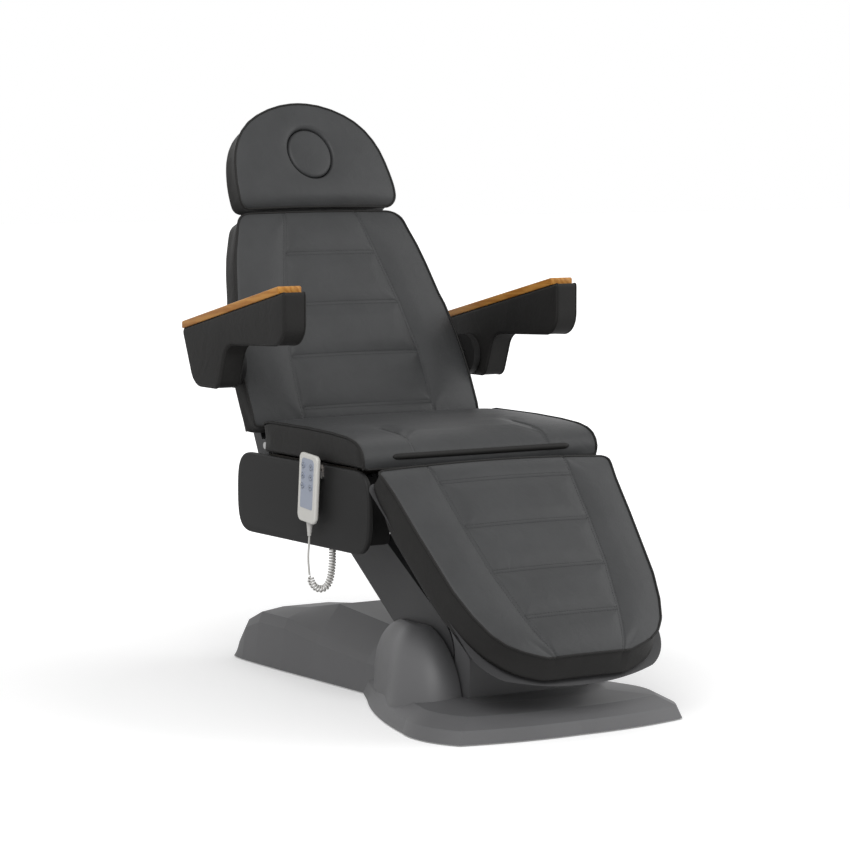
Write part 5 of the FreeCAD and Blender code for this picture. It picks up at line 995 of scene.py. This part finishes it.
class CHAIR_OT_handset(bpy.types.Operator):
    """Handset: a shell whose back draws in, a key sheet with round corners, rings and arrows on the keys"""
    bl_idname = "chair.handset"
    bl_label = "Handset"

    def execute(self, context):
        half_w, half_h, face, back = 0.037, 0.074, -0.3285, -0.3065
        line = rounded([(-half_w, -half_h), (half_w, -half_h), (half_w, half_h), (-half_w, half_h)],
                       [0.014, 0.014, 0.011, 0.011], 8)
        # rings from the face to the back: share of the depth, share of the width, share of the height
        shares = np.array([(0.0, 0.93, 0.965), (0.02, 0.965, 0.982), (0.07, 0.99, 0.995), (0.14, 1.0, 1.0),
                           (0.3, 1.0, 1.0), (0.42, 0.97, 0.985), (0.56, 0.86, 0.94), (0.72, 0.68, 0.86),
                           (0.88, 0.50, 0.76), (1.0, 0.40, 0.68)])
        rings = np.stack([np.column_stack([np.full(len(line), face + (back - face) * a),
                                           line * [b, c]]) for a, b, c in shares])
        count = len(line)
        faces = grid_faces(len(shares), count, closed=True)
        order = np.arange(rings.shape[0] * count).reshape(-1, count)
        shell = mesh_piece("handset_shell", into_frame(rings.reshape(-1, 3), HANDSET_FRAME),
                           [faces, order[:1, ::-1], order[-1:]], "handset", finish("shell"))
        shell.data.polygons.foreach_set("use_smooth", np.arange(len(shell.data.polygons)) < len(faces))
        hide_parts("handset_front", "handset_back")
        low, high, wide = 0.010 - 0.054, 0.010 + 0.054, 0.025
        key_y, key_z, key_pitch, key_ring = 0.0165, 0.048, 0.022, 0.0058
        sheet = rounded([(-wide, low), (wide, low), (wide, high), (-wide, high)],
                        [0.004, 0.004, 0.009, 0.009], 6)
        points, faces = rounded_plate(sheet, face - 0.0008, face + 0.0006, 0.0003, 3)
        piece = mesh_piece("key_sheet", into_frame(points, HANDSET_FRAME), faces, "handset", finish("sheet"),
                           smooth=False)
        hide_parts("handset_keypad")
        top = face - 0.0008 - 0.0018
        turn = np.linspace(0, math.tau, 28, endpoint=False)
        for name, side, row in KEYS:
            y, z = side * key_y, key_z - key_pitch * row
            ring = np.stack([np.full(28, top), y + key_ring * np.cos(turn), z + key_ring * np.sin(turn)], -1)
            points, faces = tube(into_frame(ring, HANDSET_FRAME), 0.0004, 6, closed=True)
            mesh_piece(name + "_ring", points, faces, name, finish("mark"))
            arrow = np.array([(-0.0028, -0.0022), (0.0028, -0.0022), (0.0, 0.0030)]) * [1, side]
            points, faces = rounded_plate(arrow + [y, z], top - 0.0003, top + 0.0003, 0.0001, 2)
            mesh_piece(name + "_arrow", into_frame(points, HANDSET_FRAME), faces, name, finish("mark"),
                       smooth=False)
        return {"FINISHED"}


# The camera that was fitted to the photo: metres, degrees and millimetres of lens
CAMERA_PLACE, CAMERA_DIP, CAMERA_TURN, CAMERA_LENS = (-3.761, -5.905, 1.255), 5.4, -32.5, 135.53
LAMP_AIM, LAMP_SIZE = (0, 0, 0.6), 2.6


class CHAIR_OT_stage(bpy.types.Operator):
    """Floor, lights and camera"""
    bl_idname = "chair.stage"
    bl_label = "Stage"

    def execute(self, context):
        scene = context.scene
        look = scene.chair_stage
        scene.view_settings.view_transform = "Standard"
        world = scene.world or bpy.data.worlds.new("studio")
        scene.world = world
        world.use_nodes = True
        tree = world.node_tree
        tree.nodes.clear()
        rays = tree.nodes.new("ShaderNodeLightPath")
        seen = add_node(tree, "ShaderNodeMath", operation="MAXIMUM")
        shiny = add_node(tree, "ShaderNodeMath", operation="MAXIMUM")
        wire(tree, (rays.outputs["Is Glossy Ray"], shiny.inputs[0]),
             (rays.outputs["Is Transmission Ray"], shiny.inputs[1]),
             (rays.outputs["Is Camera Ray"], seen.inputs[0]), (shiny.outputs[0], seen.inputs[1]))
        soft = add_node(tree, "ShaderNodeBackground", Strength=0.52)
        white = add_node(tree, "ShaderNodeBackground", Strength=1.0)
        for shade in (soft, white):
            shade.inputs["Color"].default_value = (1, 1, 1, 1)
        pick = tree.nodes.new("ShaderNodeMixShader")
        end = tree.nodes.new("ShaderNodeOutputWorld")
        wire(tree, (seen.outputs[0], pick.inputs[0]), (soft.outputs[0], pick.inputs[1]),
             (white.outputs[0], pick.inputs[2]), (pick.outputs[0], end.inputs[0]))
        ground, tree, shader = new_finish("floor")
        shader.inputs["Base Color"].default_value = (*look.floor, 1)
        shader.inputs["Roughness"].default_value = 0.9
        rays = tree.nodes.new("ShaderNodeLightPath")
        # the floor's own light grows away from the chair, so that it is white where the lamps fade
        away = add_node(tree, "ShaderNodeVectorMath", operation="LENGTH")
        tree.links.new(tree.nodes.new("ShaderNodeTexCoord").outputs["Object"], away.inputs[0])
        grow = add_node(tree, "ShaderNodeMapRange",
                        **{"From Min": 0.7, "From Max": 3.0, "To Min": 0.24, "To Max": 0.8})
        tree.links.new(away.outputs["Value"], grow.inputs["Value"])
        glow = tree.nodes.new("ShaderNodeEmission")
        tree.links.new(grow.outputs["Result"], glow.inputs["Strength"])
        both = tree.nodes.new("ShaderNodeAddShader")
        pick = tree.nodes.new("ShaderNodeMixShader")
        wire(tree, (rays.outputs["Is Camera Ray"], pick.inputs[0]), (shader.outputs[0], pick.inputs[1]),
             (shader.outputs[0], both.inputs[0]), (glow.outputs[0], both.inputs[1]),
             (both.outputs[0], pick.inputs[2]),
             (pick.outputs[0], tree.nodes["Material Output"].inputs["Surface"]))
        mesh = bpy.data.meshes.new("floor")
        mesh.from_pydata([(-30, -30, 0), (30, -30, 0), (30, 30, 0), (-30, 30, 0)], [], [(0, 1, 2, 3)])
        mesh.materials.append(ground)
        floor = bpy.data.objects.new("floor", mesh)
        scene.collection.objects.link(floor)
        for name, place, power in (("key", (-2.4, -2.9, 3.9), look.key_power),
                                   ("fill", (3.4, -2.2, 2.4), look.fill_power)):
            lamp = bpy.data.lights.new(name, "AREA")
            lamp.size = LAMP_SIZE
            lamp.energy = power
            thing = bpy.data.objects.new(name, lamp)
            thing.location = place
            away = np.array(place) - LAMP_AIM
            thing.rotation_euler = (math.acos(away[2] / np.linalg.norm(away)), 0,
                                    math.atan2(away[1], away[0]) + math.pi / 2)
            scene.collection.objects.link(thing)
        eye = bpy.data.cameras.new("camera")
        eye.sensor_width = 36
        eye.lens = CAMERA_LENS
        camera = bpy.data.objects.new("camera", eye)
        camera.location = CAMERA_PLACE
        camera.rotation_euler = (math.radians(90 - CAMERA_DIP), 0, math.radians(CAMERA_TURN))
        scene.collection.objects.link(camera)
        scene.camera = camera
        return {"FINISHED"}


class CHAIR_PT_panel(bpy.types.Panel):
    """The chair's pieces in the sidebar"""
    bl_label = "Treatment chair"
    bl_idname = "CHAIR_PT_panel"
    bl_space_type = "VIEW_3D"
    bl_region_type = "UI"
    bl_category = "Treatment chair"

    def draw(self, context):
        for operator in OPERATORS:
            self.layout.operator(operator.bl_idname)


GROUPS = {"chair_upholstery": ChairUpholstery, "chair_mouldings": ChairMouldings,
          "chair_handset": ChairHandset, "chair_stage": ChairStage}
OPERATORS = (CHAIR_OT_stage, CHAIR_OT_cords, CHAIR_OT_hard_parts, CHAIR_OT_handset, CHAIR_OT_panels,
             CHAIR_OT_seat, CHAIR_OT_back, CHAIR_OT_leg, CHAIR_OT_head, CHAIR_OT_arms)


def register():
    for kind in (*GROUPS.values(), *OPERATORS, CHAIR_PT_panel):
        bpy.utils.register_class(kind)
    for name, kind in GROUPS.items():
        setattr(bpy.types.Scene, name, PointerProperty(type=kind))


def unregister():
    for name in GROUPS:
        delattr(bpy.types.Scene, name)
    for kind in reversed((*GROUPS.values(), *OPERATORS, CHAIR_PT_panel)):
        bpy.utils.unregister_class(kind)


def main():
    register()
    for operator in OPERATORS:
        getattr(bpy.ops.chair, operator.bl_idname.split(".")[1])()


if __name__ == "__main__":
    main()
